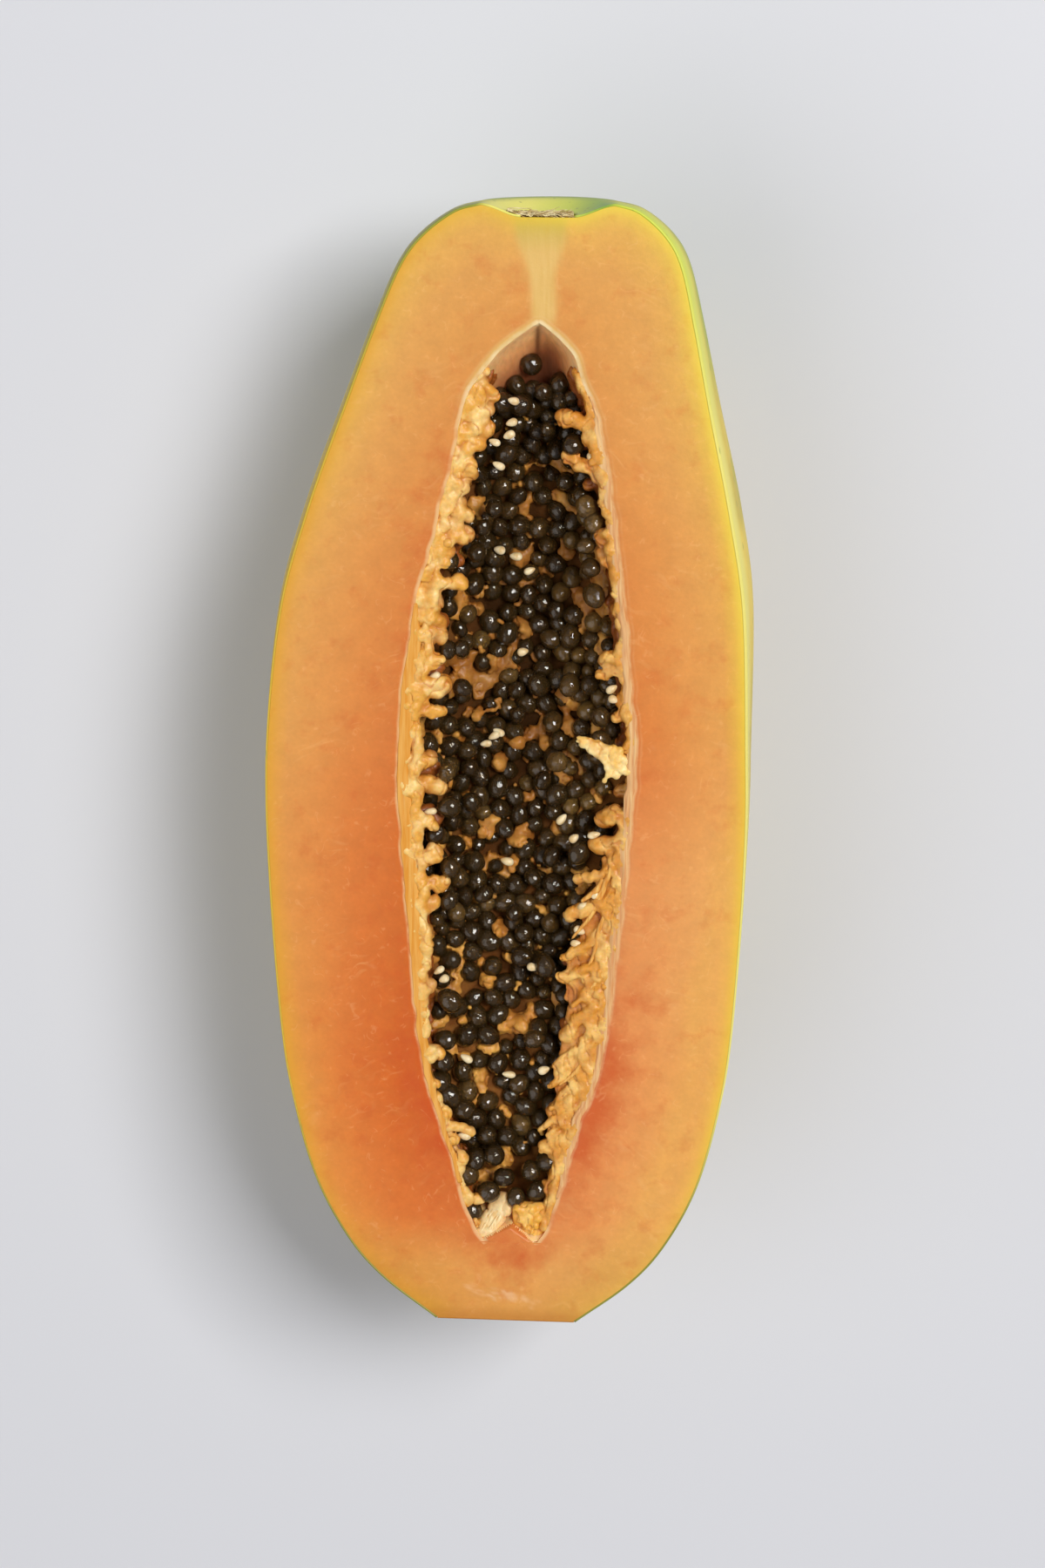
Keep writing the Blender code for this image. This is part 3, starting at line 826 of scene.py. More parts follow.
def placenta_tissue(name, pale, full, deep, dark, from_depth=4.0, to_depth=20.0, gloss=0.5):
    """Placenta: soft, wet tissue, pale on its tops, with painted shade in its folds and hollows and deeper
    down.
    """
    made, tree, place = new_material(name)
    colour = ramp(tree, noise_at(tree, place, 190.0, 3.0), ((0.42, full), (0.66, pale)))
    fine = noise_at(tree, place, 900.0, 4.0)
    tone = ramp(tree, fine, ((0.3, 0.86), (0.7, 1.06)))
    colour = shaded(tree, colour, tone)
    # Painted shade: orange brown in the folds between the cells.
    folded = ramp(tree, measured(tree, "crease"), ((0.2, 0.0), (0.8, 0.8)))
    colour = blend(tree, folded, colour, deep)
    # Painted shade: darker in the hollows below the nearby tops.
    below = times(tree, measured(tree, "sunk"), 0.125)
    hollow_shade = ramp(tree, below, ((0.1, 0.0), (0.3, 0.6), (0.6, 1.0)))
    hollow_shade_tone = ramp(tree, below, ((0.2, deep), (0.75, dark)))
    colour = blend(tree, hollow_shade, colour, hollow_shade_tone)
    # Painted shade: deeper and darker brown further down in the cavity.
    shade = share_of(tree, measured(tree, "depth"), from_depth, to_depth)
    sunk = ramp(tree, shade, ((0.0, 0.0), (0.35, 0.5), (1.0, 1.0)))
    deeper_shade = blend(tree, shade, deep, dark)
    colour = blend(tree, sunk, colour, deeper_shade)
    relief = bump(tree, fine, 0.35, 0.0005)
    return surfaced(made, {
        "Base Color": colour, "Roughness": 0.4, "Specular IOR Level": gloss, "Normal": relief,
        "Subsurface Weight": 0.3, "Subsurface Radius": (1.0, 0.45, 0.15), "Subsurface Scale": 0.0015,
    })


# Painted shade: the bed darkens from brown orange to near black brown deeper down.
bed_tissue = placenta_tissue(
    "tissue under the seeds", "#9a6630", "#7a4a22", "#5c3418", "#35200f", 8.0, 26.0, 0.0
)
bed.data.materials.append(bed_tissue)
set_attribute(bed, "depth", -millimetres(bed)[:, 2])
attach(bed, "root")
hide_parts("seed_heap")

# ---------------------------------------------------------------------------------------------------------
# Placenta. Soft yellow tissue that the seeds grew on. It lines both sides of the cavity under the rim and
# reaches inwards in blunt, knobbly fingers, torn where the seeds came away; on the right, near the blossom
# end, it is drawn out into a net of slanting strands. Loose lumps of it lie among the seeds.
LEFT_FINGERS = (  # (distance along the fruit, reach inwards from the rim, slant, thickness), in millimetres
    (110, 6.2, -1.6, 3.6), (104, 8.0, -1.4, 3.2), (101, 8.4, -3.2, 4.0), (95, 7.2, -1.6, 3.6),
    (91, 5.7, -5.9, 3.6), (79, 5.8, -0.9, 3.6), (74, 8.9, 0.1, 2.8), (71, 9.5, -1.8, 4.4),
    (65, 6.2, -1.1, 2.8), (57, 11.7, -2.7, 3.6), (50, 6.8, -0.3, 4.8), (46, 8.0, -1.3, 3.6),
    (41, 8.7, -0.9, 3.6), (34, 11.7, -0.6, 4.0), (26, 12.6, -1.3, 5.2), (22, 11.4, -3.3, 3.2),
    (12, 5.6, -1.0, 3.2), (6, 9.5, -1.6, 4.0), (-1, 11.9, -1.8, 4.8), (-13, 9.1, -0.4, 2.8),
    (-20, 10.3, -2.4, 4.0), (-28, 11.3, -3.6, 3.2), (-35, 8.4, -1.9, 3.2), (-44, 5.3, -0.7, 2.8),
    (-59, 4.8, -2.4, 4.0), (-80, 6.5, -0.9, 4.6), (-93, 2.0, -0.9, 2.8), (-101.5, 8.5, -2.5, 2.8),
    (-112, 2.2, -1.5, 2.4), (-122, 5.6, -1.5, 3.4),
)
RIGHT_FINGERS = (
    (100, 11.4, 0.3, 4.4), (96, 4.8, -0.6, 3.6), (90, 11.9, 0.5, 4.0), (85, 4.5, 0.2, 4.4),
    (79, 3.0, -0.5, 2.8), (69, 5.6, -0.6, 3.6), (63, 5.6, -0.3, 4.0), (49, 3.1, -0.5, 3.6),
    (36, 7.3, -0.9, 3.6), (31, 8.8, -0.7, 2.8), (23, 3.7, 0.2, 3.2), (20, 5.1, -2.1, 2.8),
    (-9, 9.2, -2.7, 5.2), (-16, 10.1, -2.7, 4.0), (-22, 14.6, -6.3, 2.8), (-33, 16.2, -5.7, 4.0),
    (-42, 16.1, -9.5, 2.4), (-50, 16.4, -7.8, 2.8), (-63, 14.5, -11.2, 3.6), (-73, 10.2, -5.9, 3.6),
    (-80, 13.0, -4.5, 3.2), (-92, 12.3, -4.8, 2.8), (-102, 10.2, -5.2, 3.2), (-113, 6.2, -5.9, 2.8),
)
LOOSE_LUMPS = (  # (across, along, width) of lumps among the seeds, which are pushed aside by them here
    (1.3, 57.4, 3.0), (-3.5, 40.1, 4.0), (2.7, 37.6, 4.0), (-8.6, 33.5, 2.5), (-2.6, 29.2, 7.4),
    (14.5, 20.9, 5.0), (-4.8, 16.6, 5.0), (-9.6, 14.0, 3.0), (1.2, 6.1, 4.5), (9.2, 5.3, 4.0),
    (-3.6, 0.3, 4.0), (14.1, -3.3, 5.0), (15.5, 9.9, 6.0), (-5.8, -17.9, 7.0), (2.2, -20.3, 7.0),
    (1.2, -28.6, 4.0), (9.3, -27.9, 4.0), (-3.7, -47.6, 5.0), (0.0, -54.4, 4.0), (-5.9, -61.7, 4.0),
    (-2.5, -73.4, 6.5), (6.6, -71.1, 4.0), (-5.9, -81.0, 5.0), (3.9, -74.5, 4.0), (6.0, 99.8, 3.0),
)
TORN_FLAP = (  # (across, along, radius) of the lobes of a pale sheet, torn loose from the right wall
    (20.6, 12.2, 1.2), (21.6, 11.6, 1.4), (23.4, 12.0, 1.5), (24.0, 9.8, 1.5), (25.6, 10.8, 1.6),
    (26.0, 8.2, 1.7), (27.8, 9.6, 1.6), (27.6, 6.8, 1.5), (29.6, 7.8, 1.7), (30.4, 5.6, 1.7),
    (31.6, 7.2, 1.5), (32.2, 4.0, 1.5), (28.0, 4.6, 1.0), (28.4, 2.4, 0.9), (27.4, 0.8, 0.9),
    (30.8, 2.4, 1.1), (29.9, 3.3, 1.2), (31.8, 9.4, 1.2), (33.4, 6.6, 1.4), (33.8, 3.4, 1.3),
    (29.8, 9.8, 1.3), (30.0, 6.4, 1.5),
)
STANDING_OUT = (  # (across, along, height) of seeds that lie by themselves or on the tissue's edge
    (5.9, 114.9, -13.0), (1.8, 108.5, -14.0), (6.2, 107.1, -15.0), (14.1, 109.6, -13.0),
    (14.1, 104.7, -13.0), (11.0, 97.3, -9.0), (18.3, 93.7, -6.0), (-0.2, 90.5, -9.0),
    (21.9, 76.6, -6.0), (24.1, 72.3, -6.0), (21.7, 65.5, -7.0), (23.1, 59.5, -7.0), (24.1, 51.6, -7.0),
    (-8.5, 62.6, -9.0), (-3.7, 75.2, -9.0), (-6.8, 69.9, -9.0), (-15.7, 60.9, -6.0),
    (-16.3, 36.0, -6.0), (-12.5, 36.1, -7.0), (-12.3, 25.1, -7.0), (14.0, 4.7, -6.0),
    (-16.7, 1.0, -6.0), (-16.3, -8.9, -6.0), (-20.0, -16.8, -6.0), (-16.1, -26.2, -6.0),
    (26.3, 17.7, -6.0), (26.2, 11.8, -5.0), (20.1, -21.6, -7.0), (-16.4, -36.1, -6.0),
    (10.7, -54.7, -7.0), (-16.3, -65.4, -6.0), (7.6, -76.8, -8.0), (-12.8, -98.3, -7.0),
    (-10.0, -127.4, -4.0), (2.6, -123.6, -4.6), (8.6, -121.4, -4.8), (-5.5, -121.9, -4.6),
    (-11.4, -117.4, -5.0), (-1.0, -117.6, -5.4), (6.8, -115.4, -5.6), (11.4, -112.6, -5.6),
    (-9.2, -112.7, -6.2), (-3.8, -111.2, -6.4), (-17.8, -77.2, -6.5), (-18.2, -83.6, -6.4),
    (-19.3, -89.4, -6.0), (-16.4, -94.0, -6.2),
)
LEFT_BAND = (  # (distance along the fruit, how far the tissue reaches inwards from the rim)
    (-132, 2.2), (-115, 2.5), (-95, 3.0), (-75, 4.0), (-60, 6.0), (-50, 8.0), (-25, 9.0), (0, 9.5),
    (20, 10.0), (35, 10.5), (50, 8.5), (60, 8.5), (75, 9.5), (85, 10.0), (100, 9.5), (108, 7.5),
    (114, 2.0),
)
RIGHT_BAND = (
    (-132, 2.0), (-120, 4.5), (-110, 7.0), (-95, 11.0), (-85, 12.5), (-70, 14.0), (-55, 15.0),
    (-40, 11.5), (-25, 7.5), (-10, 9.5), (0, 6.5), (20, 5.5), (35, 6.0), (50, 4.5), (65, 5.0),
    (80, 7.0), (93, 6.5), (103, 2.5), (114, 1.0),
)
VOXEL = 0.42  # the width of the skin's faces, before some of them are merged
FACES_KEPT = 0.62
rng = np.random.default_rng(5)


def lobe(x, along, z, radius, knobs=2):
    """A knobbly lump, kept just under the cut: one ball with a few smaller ones on its top."""
    middle = np.array((x, along, min(z, -0.5 - radius)))
    balls = [(*middle, radius)]
    for _ in range(knobs):
        heading = rng.normal(size=3)
        heading[2] = abs(heading[2]) - 0.2
        heading /= np.linalg.norm(heading)
        size = radius * rng.uniform(0.7, 0.9)
        place = middle + heading * radius * rng.uniform(0.3, 0.55)
        balls.append((*place[:2], min(place[2], -0.45 - size), size))
    return balls


def finger(side, along, reach, slant, thickness, low=0.0):
    """Lumps in a row from the wall inwards, drooping a little, the last one the bluntest."""
    count = max(2, round(reach / (0.4 * thickness)))
    start = float(rim(along, side)[0]) - side * 0.8
    bend = rng.normal(0, 0.8)
    droop = rng.uniform(0.5, 2.2)
    balls = []
    for share in np.linspace(0, 1, count + 1):
        radius = 0.5 * thickness * (0.92 + 0.28 * share**2) * rng.uniform(0.86, 1.12)
        x = start - side * (reach - radius) * share
        y = along + slant * share + bend * math.sin(math.pi * share) + rng.normal(0, 0.12 * thickness)
        balls += lobe(x, y, -0.6 - radius - droop * share**1.5 - 0.08 * reach * share - low, radius)
    return balls


def filling(side, band):
    """The mass between the fingers: lumps all along the rim, thick at the wall and thinner inwards."""
    balls = []
    for along in np.arange(-131.0, 114.0, 1.5):
        if side > 0 and -9.0 < along < 10.0:  # bare wall where the sheet tore loose
            continue
        half_width = float(cavity_half_width(along))
        sheet = side > 0 and along < -22
        wide = np.interp(along, *np.array(band, float).T) * (1.0 if sheet else 0.72)
        edge_x = float(rim(along, side)[0])
        for inwards in np.arange(1.0, 0.85 * wide, 1.25) if sheet else ():
            uneven = 0.9 * noise.noise(Vector((inwards / 2.2, along / 4.5, 3.3)))
            balls.append((edge_x - inwards, along, -2.9 - 0.24 * inwards + uneven, 1.3))
        under_ribbon = side < 0 and -112 < along < 58
        thin = side < 0 and along < -66
        balls.append((edge_x - side * 0.5, along, -2.9 if under_ribbon else -1.75, 1.0 if thin else 1.3))
        for drop, most in ((3.6, 1.9), (6.4, 2.2), (9.6, 2.4)):
            if drop < 0.75 * half_width:
                radius = most * rng.uniform(0.7, 1.1) * (0.6 if thin else 1.0)
                balls.append((edge_x - side * (0.6 + 0.02 * drop**2), along, -drop, radius))
        if thin and rng.uniform() > 0.3:
            continue
        inwards = rng.uniform(0.1, 0.8 if side < 0 and along > 55 else 0.5) * wide
        if under_ribbon:
            inwards = (3.4 if along > -55 else 1.7) + rng.uniform(0, 0.6) * max(wide - 4.0, 0.5)
        balls += lobe(edge_x - side * inwards, along, -1.4 - 0.3 * inwards, rng.uniform(1.3, 2.4), knobs=0)
    return balls


def strand(side, along, reach, slant, radius, start_in):
    """A slanting strand, drawn out of the tissue along the rim and bending inwards at its end."""
    share = np.linspace(0, 1, 30)
    y = along + slant * share
    x = rim(y, side) - side * (start_in + reach * share**1.7)
    x += rng.normal(0, 0.5) * np.sin(2 * np.pi * share) + rng.normal(0, 0.25) * np.sin(9 * share)
    z = -0.8 - radius - 0.22 * reach * share**1.3 + rng.normal(0, 0.3) * np.sin(np.pi * share)
    wide = radius * (1 + 0.22 * np.sin(11 * share + rng.uniform(0, 6)))
    return list(zip(x, y, z, wide))


def lump(x, along, width):
    """A loose lump: four lobes bunched together at the level of the seeds."""
    level = float(seed_level(x, along)) + 0.6
    balls = []
    for sideways, lengthwise, upwards in rng.normal(0, 0.24 * width, (4, 3)):
        radius = width * rng.uniform(0.3, 0.46)
        balls += lobe(x + sideways, along + lengthwise, level + 0.3 * upwards, radius)
    return balls


def below_tops(points, cell=0.5, reach=4):
    """How far each point lies below the highest tissue within a couple of millimetres of it."""
    column = ((points[:, :2] - points[:, :2].min(axis=0)) / cell).astype(int)
    tops = np.full(column.max(axis=0) + 1, -99.0)
    np.maximum.at(tops, tuple(column.T), points[:, 2])
    for axis in (0, 1):
        tops = np.max([np.roll(tops, step, axis=axis) for step in range(-reach, reach + 1)], axis=0)
    for axis in (0, 1):
        tops = np.mean([np.roll(tops, step, axis=axis) for step in range(-2, 3)], axis=0)
    return np.clip(tops[tuple(column.T)] - points[:, 2], 0.0, 9.0)


def round_ball(subdivisions, radius):
    """A round ball, as its points and its triangles."""
    ball = bmesh.new()
    bmesh.ops.create_icosphere(ball, subdivisions=subdivisions, radius=radius)
    points = np.array([vertex.co for vertex in ball.verts])
    faces = np.array([[vertex.index for vertex in face.verts] for face in ball.faces])
    ball.free()
    return points, faces


def carry_out(made):
    """Carries out an object's modifiers, and returns its new mesh."""
    bpy.context.view_layer.update()
    changed = bpy.data.meshes.new_from_object(made.evaluated_get(bpy.context.evaluated_depsgraph_get()))
    made.modifiers.clear()
    made.data = changed
    changed.name = made.name
    return changed


def grown(name, balls, material, kept=1.0):
    """Tissue as one skin round many balls, swelling into cells. It keeps the given share of its faces."""
    unit, unit_faces = round_ball(2, 1.05)
    balls = np.array(balls, float)
    points = balls[:, None, :3] + unit * balls[:, 3, None, None]
    faces = unit_faces[None] + np.arange(len(balls))[:, None, None] * len(unit)
    made = mesh_object(name, points.reshape(-1, 3), faces.reshape(-1, 3))
    remesh = made.modifiers.new("skin", "REMESH")
    remesh.mode = "VOXEL"
    remesh.voxel_size = VOXEL * MM
    soften = made.modifiers.new("soften", "SMOOTH")
    soften.factor = 0.5
    soften.iterations = 3
    skin = carry_out(made)
    normals = np.empty(len(skin.vertices) * 3)
    skin.vertices.foreach_get("normal", normals)
    points = millimetres(made)
    bent = points + 0.9 * lumps(points, 3.0, 8)[:, None]
    cells = np.array([noise.voronoi(Vector(point) / 5.2)[0][0] for point in bent])
    folded = bent * (1.0, 0.75, 1.0)
    drawn_out = (points[:, 0] > 6) & (points[:, 1] < -20)
    folded[drawn_out, 1] = -15 + 0.22 * (bent[drawn_out, 1] + 20)
    folded[drawn_out, 0] = 1.5 * bent[drawn_out, 0] + 0.35 * bent[drawn_out, 1]
    folds = 1 - smoothstep(np.abs(lumps(folded, 4.4, 3)), 0.0, 0.09)
    push = 0.8 * (0.42 - cells) - 0.5 * folds - 0.16 * np.abs(lumps(points, 1.2, 6)) + 0.1
    points = points + normals.reshape(-1, 3) * push[:, None]
    points[:, 2] = np.minimum(points[:, 2], -0.2)
    skin.vertices.foreach_set("co", (points * MM + (0, 0, cut_height)).ravel())
    skin.materials.append(material)
    skin.shade_smooth()
    set_attribute(made, "depth", -points[:, 2])
    # Measures for the tissue's painted shade: in its folds and cells, in its hollows, and with its depth.
    crease = folds * np.where(drawn_out, 0.35, 0.42) + 0.4 * smoothstep(cells, 0.35, 0.8)
    set_attribute(made, "crease", crease)
    set_attribute(made, "sunk", below_tops(points))
    if kept < 1:
        made.modifiers.new("fewer faces", "DECIMATE").ratio = kept
        carry_out(made)
    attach(made, "root")
    return made


tissue = placenta_tissue("papaya placenta", "#f2cd80", "#e3a544", "#bf6e24", "#7a3c14", gloss=0.4)
riper_tissue = placenta_tissue(
    "riper papaya placenta", "#eec06c", "#da9538", "#b8661e", "#763a12", gloss=0.4
)
flap_tissue = placenta_tissue("torn pale placenta", "#f8dc9a", "#ecba5c", "#cc8836", "#8a4c1c", gloss=0.4)
lump_tissue = placenta_tissue("loose placenta", "#e2a850", "#c88838", "#96561c", "#502c0e", 15.0, 32.0, 0.3)
placenta_balls = []
seats = np.array(STANDING_OUT)
for side, fingers, band in ((-1, LEFT_FINGERS, LEFT_BAND), (1, RIGHT_FINGERS, RIGHT_BAND)):
    balls = filling(side, band)
    for numbers in fingers:
        balls += finger(side, *numbers)
    for along in rng.uniform(-115, 100, 10):
        wide = np.interp(along, *np.array(band, float).T)
        reach, slant = wide * rng.uniform(0.7, 1.1), rng.normal(-1, 2)
        balls += finger(side, along, reach, slant, rng.uniform(2.6, 4.0), low=4.5)
    if side == 1:
        for along in rng.uniform(-92, -26, 24):
            reach, slant = rng.uniform(2, 10), rng.uniform(-20, -9)
            balls += strand(side, along, reach, slant, rng.uniform(0.6, 1.1), rng.uniform(1, 5))
    inside = [
        ball for ball in balls
        if ball[2] > cavity_floor(ball[0] - side * rim_swell(ball[1], side), ball[1]) - 0.5
        and np.linalg.norm(seats - ball[:3], axis=1).min() > 2.0 + 0.8 * ball[3]
    ]
    placenta_balls += inside
    name, look = ("placenta_left", tissue) if side < 0 else ("placenta_right", riper_tissue)
    grown(name, inside, look, FACES_KEPT)
flap_balls = [ball for x, y, radius in TORN_FLAP for ball in lobe(x, y, -0.6 - radius, radius)]
placenta_balls += flap_balls
grown("placenta_flap", flap_balls, flap_tissue)
lump_balls = [ball for numbers in LOOSE_LUMPS for ball in lump(*numbers)]
placenta_balls += lump_balls

# ---------------------------------------------------------------------------------------------------------
# Placenta ribbons. A smooth, streaked membrane that runs along the rim on both sides, flat and broad on the
# left and narrow on the right, grown onto the wall just below the cut.
RIBBONS = (  # (name, side, from, to, width, length over which it widens)
    ("placenta_ribbon_left", -1, -118.0, 50.0, 3.3, 90.0),
    ("placenta_ribbon_right", 1, -122.0, 108.0, 2.0, 12.0),
)


def ribbon_tissue(name, pale, full):
    """Membrane: smooth, wet and stretched lengthwise, so its streaks run along the fruit."""
    made, tree, place = new_material(name)
    drawn = stretched(tree, place, (1100.0, 60.0, 1100.0))
    streaks = noise_at(tree, drawn, 1.0, 3.0, distortion=0.4)
    colour = ramp(tree, streaks, ((0.36, full), (0.62, pale)))
    relief = bump(tree, streaks, 0.4, 0.0005)
    return surfaced(made, {
        "Base Color": colour, "Roughness": 0.3, "IOR": 1.38, "Normal": relief,
    })


ribbon_looks = {
    -1: ribbon_tissue("orange placenta membrane", "#dfa450", "#d48c30"),
    1: ribbon_tissue("pale placenta membrane", "#e2b67c", "#d09058"),
}
for name, side, low, high, width, widening in RIBBONS:
    along = np.arange(low, high, 0.7)
    share = np.linspace(0, 1, 13)
    taper = smoothstep(along, low, low + widening) * (1 - smoothstep(along, high - 14, high))
    uneven = 1 + 0.22 * wander(along, 7.0, side + 9) + 0.12 * wander(along, 2.5, 4)
    wide = width * (0.25 + 0.75 * taper) * uneven
    inwards = -0.35 + (wide[:, None] + 0.35) * share
    x = rim(along, side)[:, None] - side * inwards
    y = np.repeat(along[:, None], len(share), axis=1)
    fold = unevenness(y / 9.0, inwards / 0.8, side)
    top = -0.32 - 0.2 * inwards - 0.5 * share**4 + 0.28 * fold * np.sin(np.pi * share) ** 0.5
    ribbon = slab(name, x, y, top, top - 1.3, (ribbon_looks[side],))
    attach(ribbon, "root")

# ---------------------------------------------------------------------------------------------------------
# Placenta strings. Soft stringy tissue: drawn out of the placenta along the right rim towards the blossom
# end, and as a cream coloured fan that closes the cavity's end on the left of the tongue. Yellow lumps
# close it on the right.
STRINGS, FAN_STRINGS = 7, 12
FAN = (  # (distance along, middle, half width) of the fan
    (-135.5, -8.3, 0.6), (-133.4, -6.5, 1.9), (-130.4, -4.2, 2.4), (-127.0, -1.9, 2.7),
    (-123.8, -0.8, 2.4),
)
BY_TONGUE = (  # (across, along, radius) of the lumps on the right of the tongue
    (4.6, -126.4, 2.0), (6.8, -126.0, 2.0), (4.3, -129.0, 1.6), (7.0, -129.2, 1.3), (5.6, -131.2, 1.0),
    (7.3, -132.4, 0.8), (9.4, -128.4, 1.3), (8.6, -131.0, 0.9),
)


def strung(name, paths, material):
    """Round strings along their paths, closed and thin at both ends, as one mesh."""
    parts = []
    for path, radius in paths:
        radii = radius * (0.45 + 0.55 * np.sin(np.pi * np.linspace(0.1, 0.95, len(path))))
        radii[[0, -1]] = 0.001
        parts.append(tube(path, radii))
    made = mesh_object(name, *joined(parts), (material,))
    clean(made)
    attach(made, "root")
    return made


share = np.linspace(0, 1, 26)
paths = []
for along in rng.uniform(-98, -20, STRINGS):
    inwards = rng.uniform(0.8, 6.5) + rng.uniform(0.5, 8.0) * share**1.8
    y = along - rng.uniform(9, 20) * share
    x = rim(y, 1) - inwards + rng.normal(0, 0.3) * np.sin(rng.uniform(4, 9) * share)
    z = -0.62 - 0.15 * inwards + 0.25 * np.sin(rng.uniform(3, 12) * share + rng.uniform(0, 6))
    fits = (inwards < np.interp(y, *np.array(RIGHT_BAND, float).T) + 1.5) & (y > -128)
    if fits.sum() > 6:
        radius = rng.uniform(0.6, 1.0)
        paths.append((np.column_stack((x, y, np.minimum(z - 0.8 * radius, -0.3 - radius)))[fits], radius))
strung("placenta_strings", paths, ribbon_tissue("stringy placenta", "#eab660", "#d08834"))

balls = [ball for x, y, radius in BY_TONGUE for ball in lobe(x, y, -0.5 - radius, radius)]
balls += [
    (x, along, -3.5, 1.4) for along in np.arange(-133.8, -125.4, 1.2)
    for x in np.arange(max(3.0, 3.0 - 1.2 * (along + 130.2)), float(rim(along, 1)[0]) - 0.4, 1.3)
]
end_lumps = placenta_tissue("soft yellow end tissue", "#f2cb70", "#e6a840", "#d88a34", "#b2662a", gloss=0.4)
grown("blossom_end_lumps", balls, end_lumps)

balls, paths = [], []
fan_along, fan_middle, fan_half = np.array(FAN).T
for along in np.linspace(-135.4, -123.8, 17):
    middle, half = np.interp(along, fan_along, fan_middle), np.interp(along, fan_along, fan_half)
    for side in np.linspace(-1, 1, 5):
        radius = 0.5 + 0.35 * half
        level = -0.5 - radius - 0.36 * (along + 135.4) * (1 - 0.25 * side)
        balls.append((middle + side * (half - 0.3), along, level, radius))
fan_tissue = placenta_tissue("cream end tissue", "#f2d9a4", "#e8c082", "#d89850", "#a8642c")
grown("blossom_end_tissue", balls, fan_tissue)
for _ in range(FAN_STRINGS):
    spread, radius = rng.uniform(-0.85, 0.85), rng.uniform(0.4, 0.75)
    y = rng.uniform(-126.9, -124.2) + rng.uniform(-8.2, -6.6) * share
    x = np.interp(y, fan_along, fan_middle) + spread * np.interp(y, fan_along, fan_half)
    z = -0.35 - radius - 0.36 * (y + 135.4) * (1 - 0.25 * spread) + 0.15 * np.sin(7 * share + 9 * spread)
    paths.append((np.column_stack((x + 0.2 * np.sin(5 * share + 8 * spread), y, z)), radius))
strung("blossom_end_strings", paths, ribbon_tissue("cream stringy tissue", "#f2d9a4", "#e2b878"))

# ---------------------------------------------------------------------------------------------------------
# Ripe seeds. Each is a black, ridged seed in a clear, wet, brownish jelly coat, egg shaped and 6 to 7 mm
# long. They lie crowded two and three deep on the bed, held by the jelly.
MORE_SEEDS = 356
SEED_REACH = (-112.0, 108.0)  # the loose seeds' part of the cavity's length
SETTLING_TURNS = 70
SEED_RADIUS = 2.82
SEED_AXES = np.array((3.3, 2.8, 2.7))
rng = np.random.default_rng(21)


def keep_in(seeds):
    """Holds the seeds between the tissue on both sides, over the bed and inside their length."""
    seeds[:, 1] = np.clip(seeds[:, 1], *SEED_REACH)
    half_width = cavity_half_width(seeds[:, 1])
    centre = cavity_centre(seeds[:, 1])
    margin = 2.9 + 0.03 * half_width + 0.9 * smoothstep(-seeds[:, 1], 85.0, 110.0)
    reach = np.maximum(half_width - margin, 0.5)
    seeds[:, 0] = np.clip(seeds[:, 0], centre - reach, centre + reach)
    level = seed_level(seeds[:, 0], seeds[:, 1]) - 2.8 + 2.4 * lift[:len(seeds)]
    floor = np.maximum(level, cavity_floor(seeds[:, 0], seeds[:, 1]) + 2.6)
    seeds[:, 2] = np.minimum(np.maximum(seeds[:, 2], floor), -3.7)


lift = rng.uniform(size=MORE_SEEDS) ** 2  # how far up from the bed to the top each loose seed stays
share = rng.uniform(size=(MORE_SEEDS * 4, 3))
loose_along = SEED_REACH[0] + (SEED_REACH[1] - SEED_REACH[0]) * share[:, 0]
loose = np.column_stack((np.zeros(len(share)), loose_along, np.zeros(len(share))))
width_there = cavity_half_width(loose[:, 1])
loose = loose[rng.uniform(size=len(loose)) < width_there / 32.0][:MORE_SEEDS]
width_there = cavity_half_width(loose[:, 1])
loose[:, 0] = cavity_centre(loose[:, 1]) + (2 * share[:len(loose), 1] - 1) * (width_there - 3.5)
loose[:, 2] = seed_level(loose[:, 0], loose[:, 1]) + rng.uniform(-2, 2, len(loose))
seeds = np.vstack((seats, loose))
placed = len(seats)
sizes = np.clip(rng.normal(0.97, 0.09, len(seeds)), 0.76, 1.12)
sizes *= 1 + 0.12 * (1 - smoothstep(seeds[:, 1], -110, -20))
touching = 0.97 * SEED_RADIUS * (sizes[:, None] + sizes[None])
blocks = np.array([ball for ball in placenta_balls if ball[3] > 1.2])  # tissue that pushes seeds aside
for _ in range(SETTLING_TURNS):
    keep_in(seeds[placed:])
    apart = seeds[:, None] - seeds[None]
    distance = np.linalg.norm(apart, axis=2) + np.eye(len(seeds)) * 99
    overlap = np.clip(touching - distance, 0, None)
    push = (apart / distance[..., None] * overlap[..., None]).sum(axis=1) * 0.32
    away = seeds[:, None] - blocks[None, :, :3]
    distance = np.linalg.norm(away, axis=2) + 1e-6
    overlap = np.clip(SEED_RADIUS * 0.85 + blocks[None, :, 3] * 0.7 - distance, 0, None)
    shove = (away / distance[..., None] * overlap[..., None]).sum(axis=1) * 0.12
    size_of = np.linalg.norm(shove, axis=1)[:, None] + 1e-6
    shove *= np.minimum(1.0, 0.8 / size_of)
    seeds[placed:] += (push + shove)[placed:]
    seeds[placed:, 2] -= 0.12
keep_in(seeds[placed:])

egg_points, egg_faces = round_ball(3, 1.0)
spins = rng.normal(size=(len(seeds), 4))
spins /= np.linalg.norm(spins, axis=1)[:, None]
ages = rng.beta(0.9, 2.3, len(seeds))
on_right = (seeds[:, 0] > 13) & (seeds[:, 1] > -12) & (seeds[:, 1] < 80)
ages[on_right] = np.clip(ages[on_right] + 0.45, 0, 1)
ages[seeds[:, 1] > 84] *= 0.4


